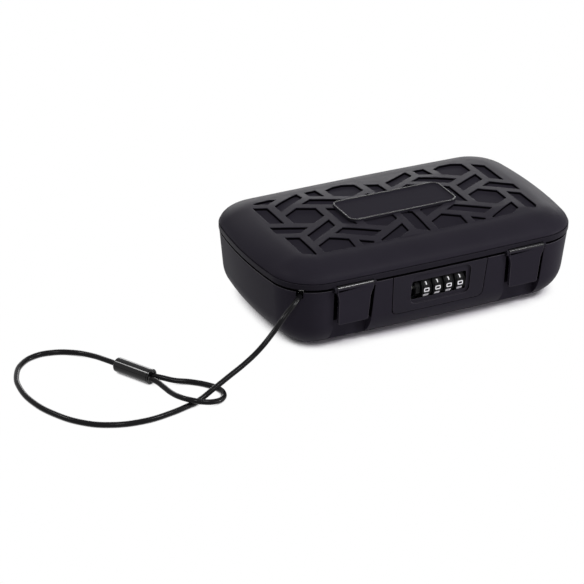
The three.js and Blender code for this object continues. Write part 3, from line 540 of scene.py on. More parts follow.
def base_body(name, skin, top, ledge=False):
    """The closed outer body of the base, or a smaller one that lies a skin below its face."""
    turns = [i / 12 * math.pi / 2 for i in range(13)]
    heights = [BOTTOM_RADIUS - (BOTTOM_RADIUS - skin) * math.cos(turn) for turn in turns]
    profile = [in_front(base_inset(z, skin), z) for z in [*heights, 36, LEDGE if ledge else top]]
    if ledge:
        inset = base_inset(LEDGE, skin) + LEDGE_DEPTH
        profile += [in_front(inset, LEDGE), in_front(inset, top)]
    return close_ends(sweep_round(name, profile), profile)


print("arcs in the outline:", len(OUTLINE))

# %% Cutting, joining and rounding
def modify(obj, kind, **settings):
    """Adds a modifier, sets it and applies it."""
    work_on(obj)
    bpy.ops.object.modifier_add(type=kind)
    step = obj.modifiers[-1]
    for key, value in settings.items():
        setattr(step, key, value)
    bpy.ops.object.modifier_apply(modifier=step.name)
    return obj


def combine(obj, operation, tools):
    for tool in tools:
        modify(obj, "BOOLEAN", operation=operation, solver="EXACT", object=tool)
        bpy.data.objects.remove(tool)
    return obj


def cut(obj, *tools):
    return combine(obj, "DIFFERENCE", tools)


def join(obj, *tools):
    return combine(obj, "UNION", tools)


def keep_common(obj, *tools):
    return combine(obj, "INTERSECT", tools)


def gather(name, pieces):
    """Puts separate pieces into one object, without cutting them."""
    clear_selection()
    for piece in pieces:
        piece.select_set(True)
    bpy.context.view_layer.objects.active = pieces[0]
    bpy.ops.object.join()
    pieces[0].name = pieces[0].data.name = name
    return pieces[0]


def twin(obj, name, shift):
    """A copy with its own mesh, moved along X."""
    work_on(obj)
    bpy.ops.object.duplicate()
    copy = bpy.context.object
    bpy.ops.transform.translate(value=(shift * MM, 0, 0))
    return settle(copy, name)


def tidy_mesh(obj, distance):
    pick_all(obj)
    bpy.ops.mesh.remove_doubles(threshold=distance * MM)
    bpy.ops.mesh.dissolve_degenerate(threshold=distance * MM)
    bpy.ops.mesh.normals_make_consistent(inside=False)
    leave_edit()


def smooth(obj, angle=40):
    """Smooths all but sharp edges and evens the shading of the flats between."""
    work_on(obj)
    bpy.ops.object.shade_smooth_by_angle(angle=math.radians(angle))
    return modify(obj, "WEIGHTED_NORMAL", keep_sharp=True)


def round_edges(obj, width, segments=2, angle=35, edge_finish=-1):
    """Rounds every edge that is sharper than an angle."""
    modify(
        obj, "BEVEL", width=width * MM, segments=segments, limit_method="ANGLE",
        angle_limit=math.radians(angle), use_clamp_overlap=False, material=edge_finish,
    )
    return smooth(obj)


def bevel(obj, test, width, segments, clamp):
    """Rounds the edges that pass a test."""
    pick(obj, "EDGE", test)
    bpy.ops.mesh.bevel(offset=width * MM, segments=segments, affect="EDGES", clamp_overlap=clamp)
    leave_edit()


def rounded_plan(width, height, radius, x=0.0, y=0.0, steps=6):
    """Points of a rectangle with round corners."""
    points = []
    for turn, (dx, dy) in enumerate([(1, 1), (-1, 1), (-1, -1), (1, -1)]):
        for i in range(steps + 1):
            angle = (turn + i / steps) * math.pi / 2
            points.append((
                x + dx * (width / 2 - radius) + radius * math.cos(angle),
                y + dy * (height / 2 - radius) + radius * math.sin(angle),
            ))
    return points


print("cutting tools ready")

# %% [markdown]
# ## Finishes
#
# The case is moulded in black plastic with a fine matt grain; the wheels are a little glossier, the sleeve on the
# cable shines, and the metal inside is plated steel and blasted zinc. Photographed textures would look right only
# from close by and need files. Noise that is worked out in the material has the right scale anywhere on a piece.

# %% Tools for finishes
class Finish(Shader):
    """The material of a piece."""

    def __init__(self, name, colour, roughness, metallic=0.0):
        self.material = bpy.data.materials.new(name)
        super().__init__(self.material)
        self.principled = self.tree.nodes["Principled BSDF"]
        self.set("Base Color", (*colour, 1))
        self.set("Roughness", roughness)
        self.set("Metallic", metallic)
        self.place = self.node("ShaderNodeTexCoord", {}, {}, "Object")

    def set(self, name, value):
        self.feed(self.principled.inputs[name], value)

    def noise(self, scale, detail=2.0, place=None):
        values = {"Vector": place or self.place, "Scale": scale, "Detail": detail}
        return self.node("ShaderNodeTexNoise", {}, values, "Fac")

    def mix(self, share, first, second):
        values = {0: share, 6: (*first, 1), 7: (*second, 1)}
        return self.node("ShaderNodeMix", {"data_type": "RGBA"}, values, 2)

    def bump(self, height, depth, strength):
        """A relief, with its depth in millimetres."""
        values = {"Height": height, "Distance": depth * MM, "Strength": strength}
        self.set("Normal", self.node("ShaderNodeBump", {}, values))


print("finish tools ready")

# %% Plastics
def moulded_plastic(name, colour, roughness, grain, gloss):
    finish = Finish(name, colour, roughness)
    fine = finish.noise(2400, 3)
    cloud = finish.noise(45, 2)
    lighter = tuple(c * 1.35 + 0.001 for c in colour)
    finish.set("Base Color", finish.mix(cloud * 0.6 + fine * 0.4, colour, lighter))
    finish.set("Roughness", roughness - 0.05 + cloud * 0.08 + fine * 0.06)
    finish.set("Specular IOR Level", gloss)
    finish.bump(fine, grain, 0.6)
    return finish.material


case_plastic = moulded_plastic("moulded_case", (0.0182, 0.0162, 0.0226), roughness=0.43, grain=0.03, gloss=0.025)
cell_plastic = moulded_plastic("moulded_cells", (0.0192, 0.0174, 0.0236), roughness=0.7, grain=0.05, gloss=0.01)
rim_plastic = moulded_plastic("moulded_rim", (0.014, 0.0125, 0.0172), roughness=0.36, grain=0.015, gloss=0.03)
# Painted highlight: a lighter colour for rounded edges, so that they show thin bright lines.
edge_highlight_plastic = moulded_plastic("painted_edge_highlight", (0.045, 0.041, 0.05), roughness=0.3, grain=0.006, gloss=0.15)
gloss_plastic = moulded_plastic("polished_edges", (0.006, 0.0055, 0.007), roughness=0.18, grain=0.004, gloss=0.35)
lock_plastic = moulded_plastic("moulded_lock", (0.019, 0.0172, 0.0232), roughness=0.45, grain=0.02, gloss=0.03)
wheel_plastic = moulded_plastic("moulded_wheels", (0.004, 0.004, 0.0045), roughness=0.34, grain=0.006, gloss=0.1)
# Painted shade: a near-black colour for faces in gaps, channels, the notch, the seam and the cells' walls, where
# shade falls.
painted_shade_plastic = moulded_plastic("painted_gap_shade", (0.0018, 0.0016, 0.0022), roughness=0.8, grain=0.02, gloss=0.0)
print("plastics: case, tread cells, rim, two kinds of edges, lock, wheels, gaps")

# %% Paint, metals, cable coat, sleeve and foam
def digit_paint():
    finish = Finish("white_paint", (0.9, 0.9, 0.9), 0.55)
    speck = finish.noise(3500, 3)
    finish.set("Base Color", finish.mix(speck, (0.95, 0.95, 0.95), (0.84, 0.84, 0.85)))
    finish.bump(speck, 0.01, 0.5)
    return finish.material


def brushed_steel(name, colour, roughness):
    finish = Finish(name, colour, roughness, 1.0)
    drawn_out = finish.node("ShaderNodeMapping", {}, {"Vector": finish.place, "Scale": (0.08, 1, 1)})
    lines = finish.noise(900, 3, drawn_out)
    haze = finish.noise(120, 2)
    finish.set("Base Color", finish.mix(haze, colour, tuple(c * 0.8 for c in colour)))
    finish.set("Roughness", roughness - 0.08 + lines * 0.12 + haze * 0.08)
    finish.bump(lines, 0.008, 0.5)
    return finish.material


def blasted_zinc():
    colour = (0.42, 0.43, 0.45)
    finish = Finish("blasted_zinc", colour, 0.5, 1.0)
    pits = finish.noise(1500, 4)
    haze = finish.noise(90, 2)
    finish.set("Base Color", finish.mix(haze * 0.7 + pits * 0.3, colour, (0.3, 0.31, 0.33)))
    finish.set("Roughness", 0.42 + pits * 0.2)
    finish.bump(pits, 0.03, 0.6)
    return finish.material


def cable_coat():
    finish = Finish("coated_cable", (0.006, 0.0056, 0.0066), 0.2)
    ripple = finish.noise(260, 2)
    fine = finish.noise(2200, 2)
    finish.set("Roughness", 0.13 + ripple * 0.08 + fine * 0.04)
    finish.set("Specular IOR Level", 0.1)
    finish.bump(ripple * 0.6 + fine * 0.1, 0.05, 0.5)
    return finish.material


def glossy_sleeve():
    finish = Finish("glossy_sleeve", (0.004, 0.004, 0.0045), 0.14)
    ripple = finish.noise(220, 1)
    finish.set("Roughness", 0.1 + ripple * 0.06)
    finish.set("Specular IOR Level", 0.25)
    finish.bump(ripple, 0.03, 0.4)
    return finish.material


def mat_foam():
    finish = Finish("mat_foam", (0.03, 0.03, 0.032), 0.95)
    values = {"Vector": finish.place, "Scale": 1300.0, "Randomness": 1.0}
    pores = finish.node("ShaderNodeTexVoronoi", {}, values, "Distance")
    cloud = finish.noise(60, 3)
    finish.set("Base Color", finish.mix(pores * 0.8 + cloud * 0.3, (0.018, 0.018, 0.02), (0.05, 0.05, 0.053)))
    finish.bump(pores + cloud * 0.6, 0.25, 0.8)
    return finish.material


digit_white = digit_paint()
plated_steel = brushed_steel("plated_steel", (0.62, 0.62, 0.6), 0.3)
spring_steel = brushed_steel("spring_steel", (0.45, 0.46, 0.48), 0.25)
zinc = blasted_zinc()
coat = cable_coat()
sleeve_gloss = glossy_sleeve()
foam = mat_foam()
cable.data.materials.append(coat)
print("finishes:", len(bpy.data.materials))

# %% Finishing a piece
def finish_piece(piece, material, body, node):
    """Gives a piece its material and the body it moves with, and hides the solid that it stands for."""
    if not piece.data.materials:
        piece.data.materials.append(material)
    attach(piece, body)
    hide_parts(node)
    print(piece.name, "faces:", len(piece.data.polygons))
    return piece


def add_finishes(piece, *materials):
    for material in materials:
        piece.data.materials.append(material)


def coat_faces(piece, index, test):
    """Gives the faces that pass a test another of the piece's materials."""
    count = pick(piece, "FACE", test)
    piece.active_material_index = index
    bpy.ops.object.material_slot_assign()
    leave_edit()
    return count


def middle(face):
    return face.calc_center_median() / MM


def above(face, level):
    return all(v.co.z / MM > level for v in face.verts)


def rounded(points, radii, steps=6):
    """Rounds each corner of a polygon by its own radius."""
    row = []
    for i, point in enumerate(points):
        here = Vector(point)
        if not radii[i]:
            row.append(here)
            continue
        inward = (Vector(points[i - 1]) - here).normalized()
        outward = (Vector(points[(i + 1) % len(points)]) - here).normalized()
        half = inward.angle(outward) / 2
        centre = here + (inward + outward).normalized() * radii[i] / math.sin(half)
        first = here + inward * radii[i] / math.tan(half) - centre
        last = here + outward * radii[i] / math.tan(half) - centre
        turn = math.pi - 2 * half
        for k in range(steps + 1):
            before, after = math.sin((1 - k / steps) * turn), math.sin(k / steps * turn)
            row.append(centre + (first * before + last * after) / math.sin(turn))
    return row


print("piece tools ready")

# %% [markdown]
# ## The base
#
# The lower half has leaning walls, a wide round at the bottom and a flat floor. Two channels hold the latches, a
# shallow recess takes the lock plate, a window lets the wheels through and a notch lets the cable out. A box with
# a Bevel could not follow the bowed outline. One profile is spun round the arcs of the outline, once for the
# outside and once, smaller, for the room inside, and each cut has its own simple solid.

# %% Room inside the base
AHEAD = -75
ABOVE = 55
BELOW = -5


def channel_back(z, wall=0.0):
    """Where the leaning back of a latch channel is, or a wall behind it."""
    return -63 + (SEAM - z) * 0.14 + wall


def before_channel_back(x, half, wall):
    shape = [
        (AHEAD, BELOW), (channel_back(BELOW, wall), BELOW), (channel_back(ABOVE, wall), ABOVE), (AHEAD, ABOVE),
    ]
    return across("channel_back", shape, x - half, x + half)


def at_notch(obj):
    """Turns a solid that was made along X to the corner where the cable comes out."""
    work_on(obj)
    obj.rotation_euler = (0, 0, math.radians(230))
    obj.location = (-corner.x * MM, corner.y * MM, 0)
    return settle(obj, obj.name)


room = base_body("room", 4, ABOVE)
cut(
    room,
    block("pad", (-45.5, 45.5), (-90, -62.5), (-1, 60)),
    before_channel_back(-LATCH_X, 18, 3),
    before_channel_back(LATCH_X, 18, 3),
    at_notch(block("shelf", (16, 30), (-6, 6), (38.1, 42.1))),
)
print("faces round the room:", len(room.data.polygons))

# %% Channels, recess, window and notch
CABLE_EXIT = 46
NOTCH_RADIUS = 2.5
SCREW_PLACES = [(x, z) for x in (-40.5, 40.5) for z in (43, 31)]
SCREW_FACE = -57.4


def channel(x):
    shape = [(x - 15.17, ABOVE), (x - 13.13, BELOW), (x + 14.6, BELOW), (x + 16.7, ABOVE)]
    slot = facing("channel", shape, AHEAD, 0)
    keep_common(slot, before_channel_back(x, 30, 0))
    return join(slot, block("barrel_room", (x - 16.3, x + 16.3), (AHEAD, -66.8), (47.3, ABOVE)))


def plate_shape(top, top_width, bottom, bottom_width, radius):
    points = [
        (-top_width / 2, top), (-bottom_width / 2, bottom), (bottom_width / 2, bottom), (top_width / 2, top),
    ]
    return rounded(points, [0, radius, radius, 0], 8)


def cable_notch():
    turns = [math.pi + i / 16 * math.pi for i in range(17)]
    arc = [(NOTCH_RADIUS * math.cos(turn), CABLE_EXIT + NOTCH_RADIUS * math.sin(turn)) for turn in turns]
    return at_notch(across("notch", [*arc, (NOTCH_RADIUS, ABOVE), (-NOTCH_RADIUS, ABOVE)], 23, 37))


recess = facing("recess", plate_shape(ABOVE, 75.876, 18.2, 72.4, 4.8), AHEAD, 0)
cut(recess, base_body("behind_recess", 2.7, 60))

shell = base_body("base_moulding", 0, SEAM, ledge=True)
cut(
    shell, room, channel(-LATCH_X), channel(LATCH_X), recess,
    block("window", (-21.8, 21.8), (AHEAD, -57.5), (24.9, 42.1)),
    cable_notch(),
    *[rod("hole", 1.6, (x, -65.3, z), (x, -57.5, z), 20) for x, z in SCREW_PLACES],
)
print("faces of the cut shell:", len(shell.data.polygons))

# %% Catches and hinge knuckles of the base
KNUCKLE_RADIUS = 2.1
PIN_BORE = 1.1


def catch(x):
    back = 1.5
    shape = [
        (channel_back(32.7, back), 32.7), (-63.44, 31.87), (-63.44, 30.2), (channel_back(30.2, back), 30.2),
    ]
    return across("catch", shape, x - 10.3, x + 10.3)


def round_hinge(name, radius, x, *spans):
    """Cylinders round the hinge's axis, each from one distance beside its middle to another."""
    return [rod_on(HINGE_PIN, name, radius, x + left, x + right) for left, right in spans]


def pin_bore(axis, x, half):
    return rod_on(axis, "bore", PIN_BORE, x - half, x + half, 20)


join(shell, catch(-LATCH_X), catch(LATCH_X))
for x in (-HINGE_X, HINGE_X):
    join(shell, *round_hinge("knuckle", KNUCKLE_RADIUS, x, (-12, -5.8), (5.8, 12)))
    cut(shell, *round_hinge("lid_room", 2.4, x, (-5.8, 5.8)), pin_bore(HINGE_PIN, x, 17))
tidy_mesh(shell, 0.03)
print("faces of the moulding:", len(shell.data.polygons))

# %% Painted shade in the gaps and painted highlight on the edges of the base
FINGER_TOP = 20.5
NOTCH_PLACE = (-107.3, -61)


def side_wall(x, z):
    """Where the front wall's face is, at a place along the case and at a height."""
    return side_centre - math.sqrt(side_radius ** 2 - x * x) + base_inset(z)


def is_beside_latch(face, x):
    place = middle(face)
    return abs(place.x - x) < 17 and place.y < -58


def in_gap(face):
    """Faces beside and behind a latch, above the room for the fingertip."""
    x, y, z = middle(face)
    return abs(abs(x) - LATCH_X) < 17 and side_wall(x, z) + 0.5 < y < -58 and z > FINGER_TOP


def is_behind_plate(face):
    x, y, z = middle(face)
    return abs(x) < 38 and side_wall(x, z) + 0.4 < y < -60 and z > 18


def is_in_notch(face):
    x, y, z = middle(face)
    deep = math.hypot(x + corner.x, y - corner.y) < CORNER_RADIUS - base_inset(z) - 0.3
    return deep and math.hypot(x - NOTCH_PLACE[0], y - NOTCH_PLACE[1]) < 5.5 and z > 43


for x in (-LATCH_X, LATCH_X):
    pick(shell, "FACE", lambda f: is_beside_latch(f, x))
    bpy.ops.mesh.bisect(plane_co=(0, 0, FINGER_TOP * MM), plane_no=(0, 0, 1))
    leave_edit()
add_finishes(shell, case_plastic, edge_highlight_plastic, painted_shade_plastic)
round_edges(shell, 0.3)
# The rounded top of the ledge gets a lighter colour as a painted highlight.
print("edge faces:", coat_faces(shell, 1, lambda f: f.normal.z > 0.2 and above(f, 48.8)))
# Faces beside and behind the latches, behind the lock plate, in the notch and on the ledge under the seam get
# near-black painted shade.
for test in (in_gap, is_behind_plate, is_in_notch, lambda f: above(f, 49.15)):
    print("dark faces:", coat_faces(shell, 2, test))
finish_piece(shell, case_plastic, "base", "base_shell")

# %% [markdown]
# ## The rim
#
# A narrow ring closes the underside of the lid. It carries the ears that hold the latch pins, and the middle
# knuckles of the two hinges. It could be part of the cover, but on the real one a fine dark line parts the two.

# %% Rim with its ears and knuckles
def make_rim():
    outer = [(0.35, 51.2), (0.1, 51.3), (0, 51.55), (0, 54.85), (0.1, 55.1), (0.35, 55.2), (4.2, 55.2), (4.2, 51.2)]
    return face_outwards(sweep_round("rim_moulding", [in_front(*point) for point in outer], closed=True))


def ear(x, side):
    near, far = sorted((x + side * 14.2, x + side * 16))
    root = block("ear_root", (near, far), (LATCH_PIN.y, LATCH_PIN.y + 2.2), (LATCH_PIN.z, 52.53))
    return join(rod_on(LATCH_PIN, "ear", 2.2, near, far), root)


rim = make_rim()
for x in (-LATCH_X, LATCH_X):
    cut(rim, rod_on(LATCH_PIN, "barrel_room", 2.6, x - 14.2, x + 14.2))
    join(rim, ear(x, -1), ear(x, 1))
    cut(rim, pin_bore(LATCH_PIN, x, 20.7))
for x in (-HINGE_X, HINGE_X):
    cut(rim, *round_hinge("base_room", 2.4, x, (-12.3, -5.5), (5.5, 12.3)))
    join(rim, *round_hinge("knuckle", KNUCKLE_RADIUS, x, (-5.5, 5.5)))
    cut(rim, pin_bore(HINGE_PIN, x, 17))
tidy_mesh(rim, 0.03)
round_edges(rim, 0.2)
finish_piece(rim, rim_plastic, "lid", "lid_rim")

# %% [markdown]
# ## The cover
#
# The cover bends over from its edge to a slightly domed panel with the tread: hexagons and long parallelograms,
# parted by ribs of one width. Cutting slanted cells into a dome would leave ragged edges. The cover is made with a
# flat panel first, the cells are cut and their edges rounded there, and then the whole panel is lifted to its dome.

# %% Flat cover
SHOULDER_HEIGHT = PANEL_EDGE - COVER_BOTTOM
SHOULDER_POWER = 2 / 1.68
STRIKE = Vector((24.2, -44.65, 0))
ROOF = 60


def shoulder(skin, roof, steps=16):
    """Points of the bend from the cover's edge up to the panel."""
    start = 0.6 + skin
    points = []
    for i in range(steps + 1):
        turn = i / steps * math.pi / 2
        inward = 1 - math.cos(turn) ** SHOULDER_POWER if i < steps else 1
        rise = (SHOULDER_HEIGHT - roof) * math.sin(turn) ** SHOULDER_POWER
        points.append((start + (PANEL_INSET - start) * inward, COVER_BOTTOM + rise))
    return points


def flat_cover():
    outer = reversed(shoulder(0, 0)[1:])
    edge = [(0.6, 55.85), (0.68, 55.62), (0.9, 55.5)]
    profile = [in_front(*point) for point in [*outer, *edge, *shoulder(3.6, 4)]]
    return close_ends(sweep_round("cover_moulding", profile), profile)


cover = flat_cover()
x, y, _ = STRIKE
join(cover, block("boss", (x - 11, x + 11), (y - 6.5, y + 6.5), (58, 63.6)))
cut(cover, *[rod("hole", 1.6, (x + side, y, ABOVE), (x + side, y, 60.2), 20) for side in (-6, 6)])
print("faces of the flat cover:", len(cover.data.polygons))

# %% Tread cells
CELL_EDGE = 17.1
RIB = 5.9
PATTERN_START = Vector((-66.9, 9))
CELL_FLOOR = 64.7
SMALLEST_CELL = 280
OVER_LID = 75


def polar(radius, degrees):
    return Vector((radius * math.cos(math.radians(degrees)), radius * math.sin(math.radians(degrees))))


def shrunk(points, distance):
    """Moves every side of a polygon inwards."""
    row = []
    for i, point in enumerate(points):
        u = (point - points[i - 1]).normalized()
        v = (points[(i + 1) % len(points)] - point).normalized()
        sine = u.x * v.y - u.y * v.x
        row.append(point + v * distance / sine - u * distance / sine)
    return row


def cell_shapes(centre):
    """A hexagon and three of the parallelograms round it."""
    corners = [centre + polar(CELL_EDGE, 30 + 60 * k) for k in range(6)]
    shapes = [corners]
    for k in range(3):
        heading = 30 + 60 * k
        tip = corners[k] + polar(CELL_EDGE, heading - 60)
        step = polar(CELL_EDGE, heading)
        shapes.append([corners[k + 1], tip, tip + step, corners[k + 1] + step])
    return [shrunk(shape, RIB / 2) for shape in shapes]


def near_panel(shape):
    return any(abs(p.x) < 97 and abs(p.y) < 47 for p in shape)


def all_cells():
    cells = []
    for m in range(-5, 6):
        for n in range(-5, 6):
            centre = PATTERN_START + polar(3 * CELL_EDGE, 30) * m + polar(3 * CELL_EDGE, -90) * n
            cells += [shape for shape in cell_shapes(centre) if near_panel(shape)]
    return cells


def outline_plan(inset):
    """Points of the case's outline seen from above, set in by a distance."""
    points = []
    start = half_end
    for (x, y), (radius, turn, _, count) in OUTLINE:
        for i in range(count):
            angle = start + turn * i / count
            points.append((x + (radius - inset) * math.cos(angle), y + (radius - inset) * math.sin(angle)))
        start += turn
    return points


def volume(obj):
    """In cubic millimetres."""
    mesh = bmesh.new()
    mesh.from_mesh(obj.data)
    size = abs(mesh.calc_volume()) / MM ** 3
    mesh.free()
    return size


def tread_cutter():
    cutter = gather("cells", [upright("cell", shape, CELL_FLOOR, 72) for shape in all_cells()])
    keep_common(cutter, upright("panel", outline_plan(23.8), ROOF, OVER_LID))
    cut(cutter, upright("plate_area", rounded_plan(80, 27, 4), ROOF, OVER_LID))
    pick_all(cutter)
    bpy.ops.mesh.separate(type="LOOSE")
    leave_edit()
    parts = list(bpy.context.selected_objects)
    small = [part for part in parts if volume(part) < SMALLEST_CELL]
    kept = [part for part in parts if part not in small]
    for part in small:
        bpy.data.objects.remove(part)
    return gather("cells", kept)


cells = tread_cutter()
print("tread cutter faces:", len(cells.data.polygons))

# %% Cut the cells and round their edges
POCKET_FLOOR = 65.2
PANEL_ANGLES, PANEL_REACH = zip(*[(math.atan2(y, x), math.hypot(x, y)) for x, y in outline_plan(PANEL_INSET)])


def upright_corner(edge):
    """An upright edge where two sides of a cell meet at a clear angle."""
    along = (edge.verts[0].co - edge.verts[1].co).normalized()
    return abs(along.z) > 0.99 and len(edge.link_faces) == 2 and edge.calc_face_angle() > math.radians(24)


def is_brim(edge, level):
    """An edge at one height between a flat face and an upright one."""
    steep = [abs(face.normal.z) < 0.5 for face in edge.link_faces]
    return on_level(edge, level) and len(steep) == 2 and steep[0] != steep[1]


bevel(cells, upright_corner, 1.1, 4, True)
cut(cover, cells, upright("pocket", rounded_plan(86.6, 33.6, 6.3, steps=8), POCKET_FLOOR, 72))
tidy_mesh(cover, 0.02)
bevel(cover, lambda e: is_brim(e, CELL_FLOOR), 0.5, 3, False)
bevel(cover, lambda e: is_brim(e, PANEL_EDGE), 0.4, 3, False)
print("faces of the cut cover:", len(cover.data.polygons))

# %% Lift the panel to its dome
def reach_of_panel(x, y):
    """How far the panel reaches from the lid's middle in the direction of a place."""
    return numpy.interp(numpy.arctan2(y, x), PANEL_ANGLES, PANEL_REACH, period=2 * math.pi)


def crown_at(x, y):
    """How far the dome stands above the panel's edge."""
    share = min(1.0, math.hypot(x, y) / reach_of_panel(x, y))
    return CROWN * (1 - share * share)


def within_panel(face, margin):
    places = [v.co / MM for v in face.verts]
    return all(math.hypot(p.x, p.y) < reach_of_panel(p.x, p.y) - margin for p in places)


def slice_panel(axis, places):
    """Cuts the panel's faces by upright planes, so that they can follow the dome."""
    for place in places:
        pick(cover, "FACE", lambda f: middle(f).z > 61 and within_panel(f, -0.1))
        bpy.ops.mesh.bisect(plane_co=axis * place * MM, plane_no=axis)
        leave_edit()


def is_cell_floor(face):
    return face.normal.z > 0.9 and abs(middle(face).z - CELL_FLOOR) < 0.01


def is_cell_wall(face):
    """The upright sides of the cells with the round at their foot, but not the round at their brim."""
    low = min(v.co.z / MM for v in face.verts)
    return CELL_FLOOR - 0.01 < low < PANEL_EDGE - 0.5 and -0.1 < face.normal.z < 0.95 and within_panel(face, 0.3)


add_finishes(cover, case_plastic, cell_plastic, painted_shade_plastic)
# The cell walls get near-black painted shade; the cell floors get the matter plastic.
print("cell floors:", coat_faces(cover, 1, is_cell_floor), "walls:", coat_faces(cover, 2, is_cell_wall))
slice_panel(Vector((1, 0, 0)), [x * 12 for x in range(-8, 9)])
slice_panel(Vector((0, 1, 0)), [y * 7 for y in range(-6, 7)])
for vertex in cover.data.vertices:
    x, y, z = vertex.co / MM
    if abs(z - POCKET_FLOOR) < 0.01 and abs(x) < 44 and abs(y) < 17.5:
        vertex.co.z = 68.3 * MM
    elif z >= 61:
        vertex.co.z += crown_at(x, y) * MM
smooth(cover, 38)
finish_piece(cover, case_plastic, "lid", "lid_cover")

# %% [markdown]
# ## The name plate
#
# A long plate with a raised edge sits in a pocket in the middle of the lid. A line painted round it would look flat.
# The edge catches the light from behind as one thin bright line, so it is modelled, inset from the outline and
# rounded.

# %% Name plate
def name_plate():
    plate = upright("bare_name_plate", rounded_plan(86, 33, 6, steps=10), 68.6, 71)
    pick(plate, "FACE", lambda f: f.normal.z > 0.9)
    bpy.ops.mesh.inset(thickness=1.1 * MM)
    extrude((0, 0, -0.8))
    face_outwards(plate)
    round_edges(plate, 0.3, 3, 50)
    add_finishes(plate, cell_plastic, gloss_plastic)
    coat_faces(plate, 1, lambda f: f.normal.z > 0.25 and middle(f).z > 70.6)
    return plate


finish_piece(name_plate(), cell_plastic, "lid", "name_plate")

# %% [markdown]
# ## The latches
#
# Each latch is a plate that hangs from a barrel round its pin, with a hook behind that snaps over a ridge in the
# channel. Its sides draw in below the barrel. A flat plate that is bent and scaled would lose those sides. Here the
# plate is the part that a front shape and a side shape share.

# %% Latches
LATCH_LENGTH = 28.2
LATCH_LEAN = 4.9 / 50
LATCH_SIDE = [(13.9, 0), (13.9, 2.6), (13.3, 4.2), (12.6, 6.2), (12.1, 9), (11.4, LATCH_LENGTH)]
BARREL_RADIUS = 2.3
HOOK_TIP = -63.74


def make_latch(name, x):
    top, front = LATCH_PIN.z, LATCH_PIN.y - BARREL_RADIUS
    bottom, low_front = top - LATCH_LENGTH, front + LATCH_LENGTH * LATCH_LEAN
    right = [(x + w, top - d) for w, d in LATCH_SIDE]
    left = [(x - w, top - d) for w, d in reversed(LATCH_SIDE)]
    radii = [0] * len(right) + [0] * len(left)
    radii[len(right) - 1] = radii[len(right)] = 1.5
    plate = facing(name, rounded([*right, *left], radii), -80, -50)
    side = [(front, top), (low_front, bottom), (low_front + 3, bottom), (front + 3, top)]
    keep_common(plate, across("side", side, x - 20, x + 20))
    hook = block("hook", (x - 10.3, x + 10.3), (HOOK_TIP - 4.5, HOOK_TIP), (top - 22, top - 20))
    join(plate, rod_on(LATCH_PIN, "barrel", BARREL_RADIUS, x - 13.9, x + 13.9, 48), hook)
    cut(plate, pin_bore(LATCH_PIN, x, 20))
    tidy_mesh(plate, 0.02)
    add_finishes(plate, case_plastic, edge_highlight_plastic, gloss_plastic)
    # The rounded edges get a lighter colour as a painted highlight; the top of the barrel gets the glossier plastic.
    round_edges(plate, 0.28, 2, 30, edge_finish=1)
    coat_faces(plate, 2, lambda f: above(f, LATCH_PIN.z + 0.6))
    return plate


latch_left = make_latch("pull_latch_left", -LATCH_X)
latch_right = twin(latch_left, "pull_latch_right", 2 * LATCH_X)
finish_piece(latch_left, case_plastic, "latch_left", "latch_left")
finish_piece(latch_right, case_plastic, "latch_right", "latch_right")

# %% Pins of the latches and hinges
PINS = [
    ("latch_pin_left", LATCH_PIN, -LATCH_X, 15.2, "lid"), ("latch_pin_right", LATCH_PIN, LATCH_X, 15.2, "lid"),
    ("hinge_pin_left", HINGE_PIN, -HINGE_X, 12, "base"), ("hinge_pin_right", HINGE_PIN, HINGE_X, 12, "base"),
]


def domed_pin(axis, name, radius, left, right):
    """A turned pin with both ends rounded over."""
    pin = rod_on(axis, name, radius, left, right, 24)
    bevel(pin, lambda e: abs(e.verts[0].co.x - e.verts[1].co.x) < 0.001 * MM, 0.3, 3, True)
    return smooth(pin)


for node, axis, x, half, body in PINS:
    pin = domed_pin(axis, node.replace("pin", "rivet"), 0.8, x - half, x + half)
    finish_piece(pin, plated_steel, body, node)

# %% [markdown]
# ## The lock plate
#
# A plate lies flush in the front, with a shallow dish and the window for the wheels. It follows the leaning, bowed
# wall: its front shape is shared with a skin of the base's own outer body, so it can't stand proud anywhere. A flat
# plate would leave a step at its ends.

# %% Lock plate
def flush_plate():
    slab = facing("lock_cover", plate_shape(49.7, 74.2, 18.7, 71.3, 4.5), AHEAD, 0)
    keep_common(slab, base_body("outside", 0, SEAM, ledge=True))
    cut(slab, base_body("behind", 2.4, 60))
    dish = facing("dish", rounded_plan(46.8, 23.4, 4.5, 1.1, 35.9, 6), AHEAD, 0)
    cut(dish, base_body("dish_floor", 1.2, 60))
    window = facing("window", rounded_plan(43, 13.9, 1.5, 0, 34.95, 4), AHEAD, 0)
    cut(slab, dish, window, rod_on(WHEEL_AXIS, "wheel_room", 8.6, -21.8, 21.8, 64))
    tidy_mesh(slab, 0.02)
    add_finishes(slab, lock_plastic, edge_highlight_plastic, painted_shade_plastic)
    # The rounded edges get a lighter colour as a painted highlight; faces that face left and the top under the seam
    # get near-black painted shade.
    round_edges(slab, 0.18, 2, 35, edge_finish=1)
    coat_faces(slab, 2, lambda f: f.normal.x < -0.5 or above(f, LEDGE - 0.05))
    return slab


finish_piece(flush_plate(), lock_plastic, "base", "lock_plate")

# %% [markdown]
# ## The number wheels
#
# Ten flat facets carry the white digits, with a ridge between each two for the finger, and fine grooves run round
# both edges. One wheel is drawn, cut and numbered, and the other three are copies. The digits are printed with one
# broad stroke, wide and square, unlike any font at hand, so each is drawn as strokes with round ends.

# %% Wheel body
GROOVE = [(-0.2, 8.7), (-0.14, 7.55), (0.14, 7.55), (0.2, 8.7)]
GROOVE_PLACES = (-3.1, -2.5, 2.5, 3.1)
FACET = 7.8


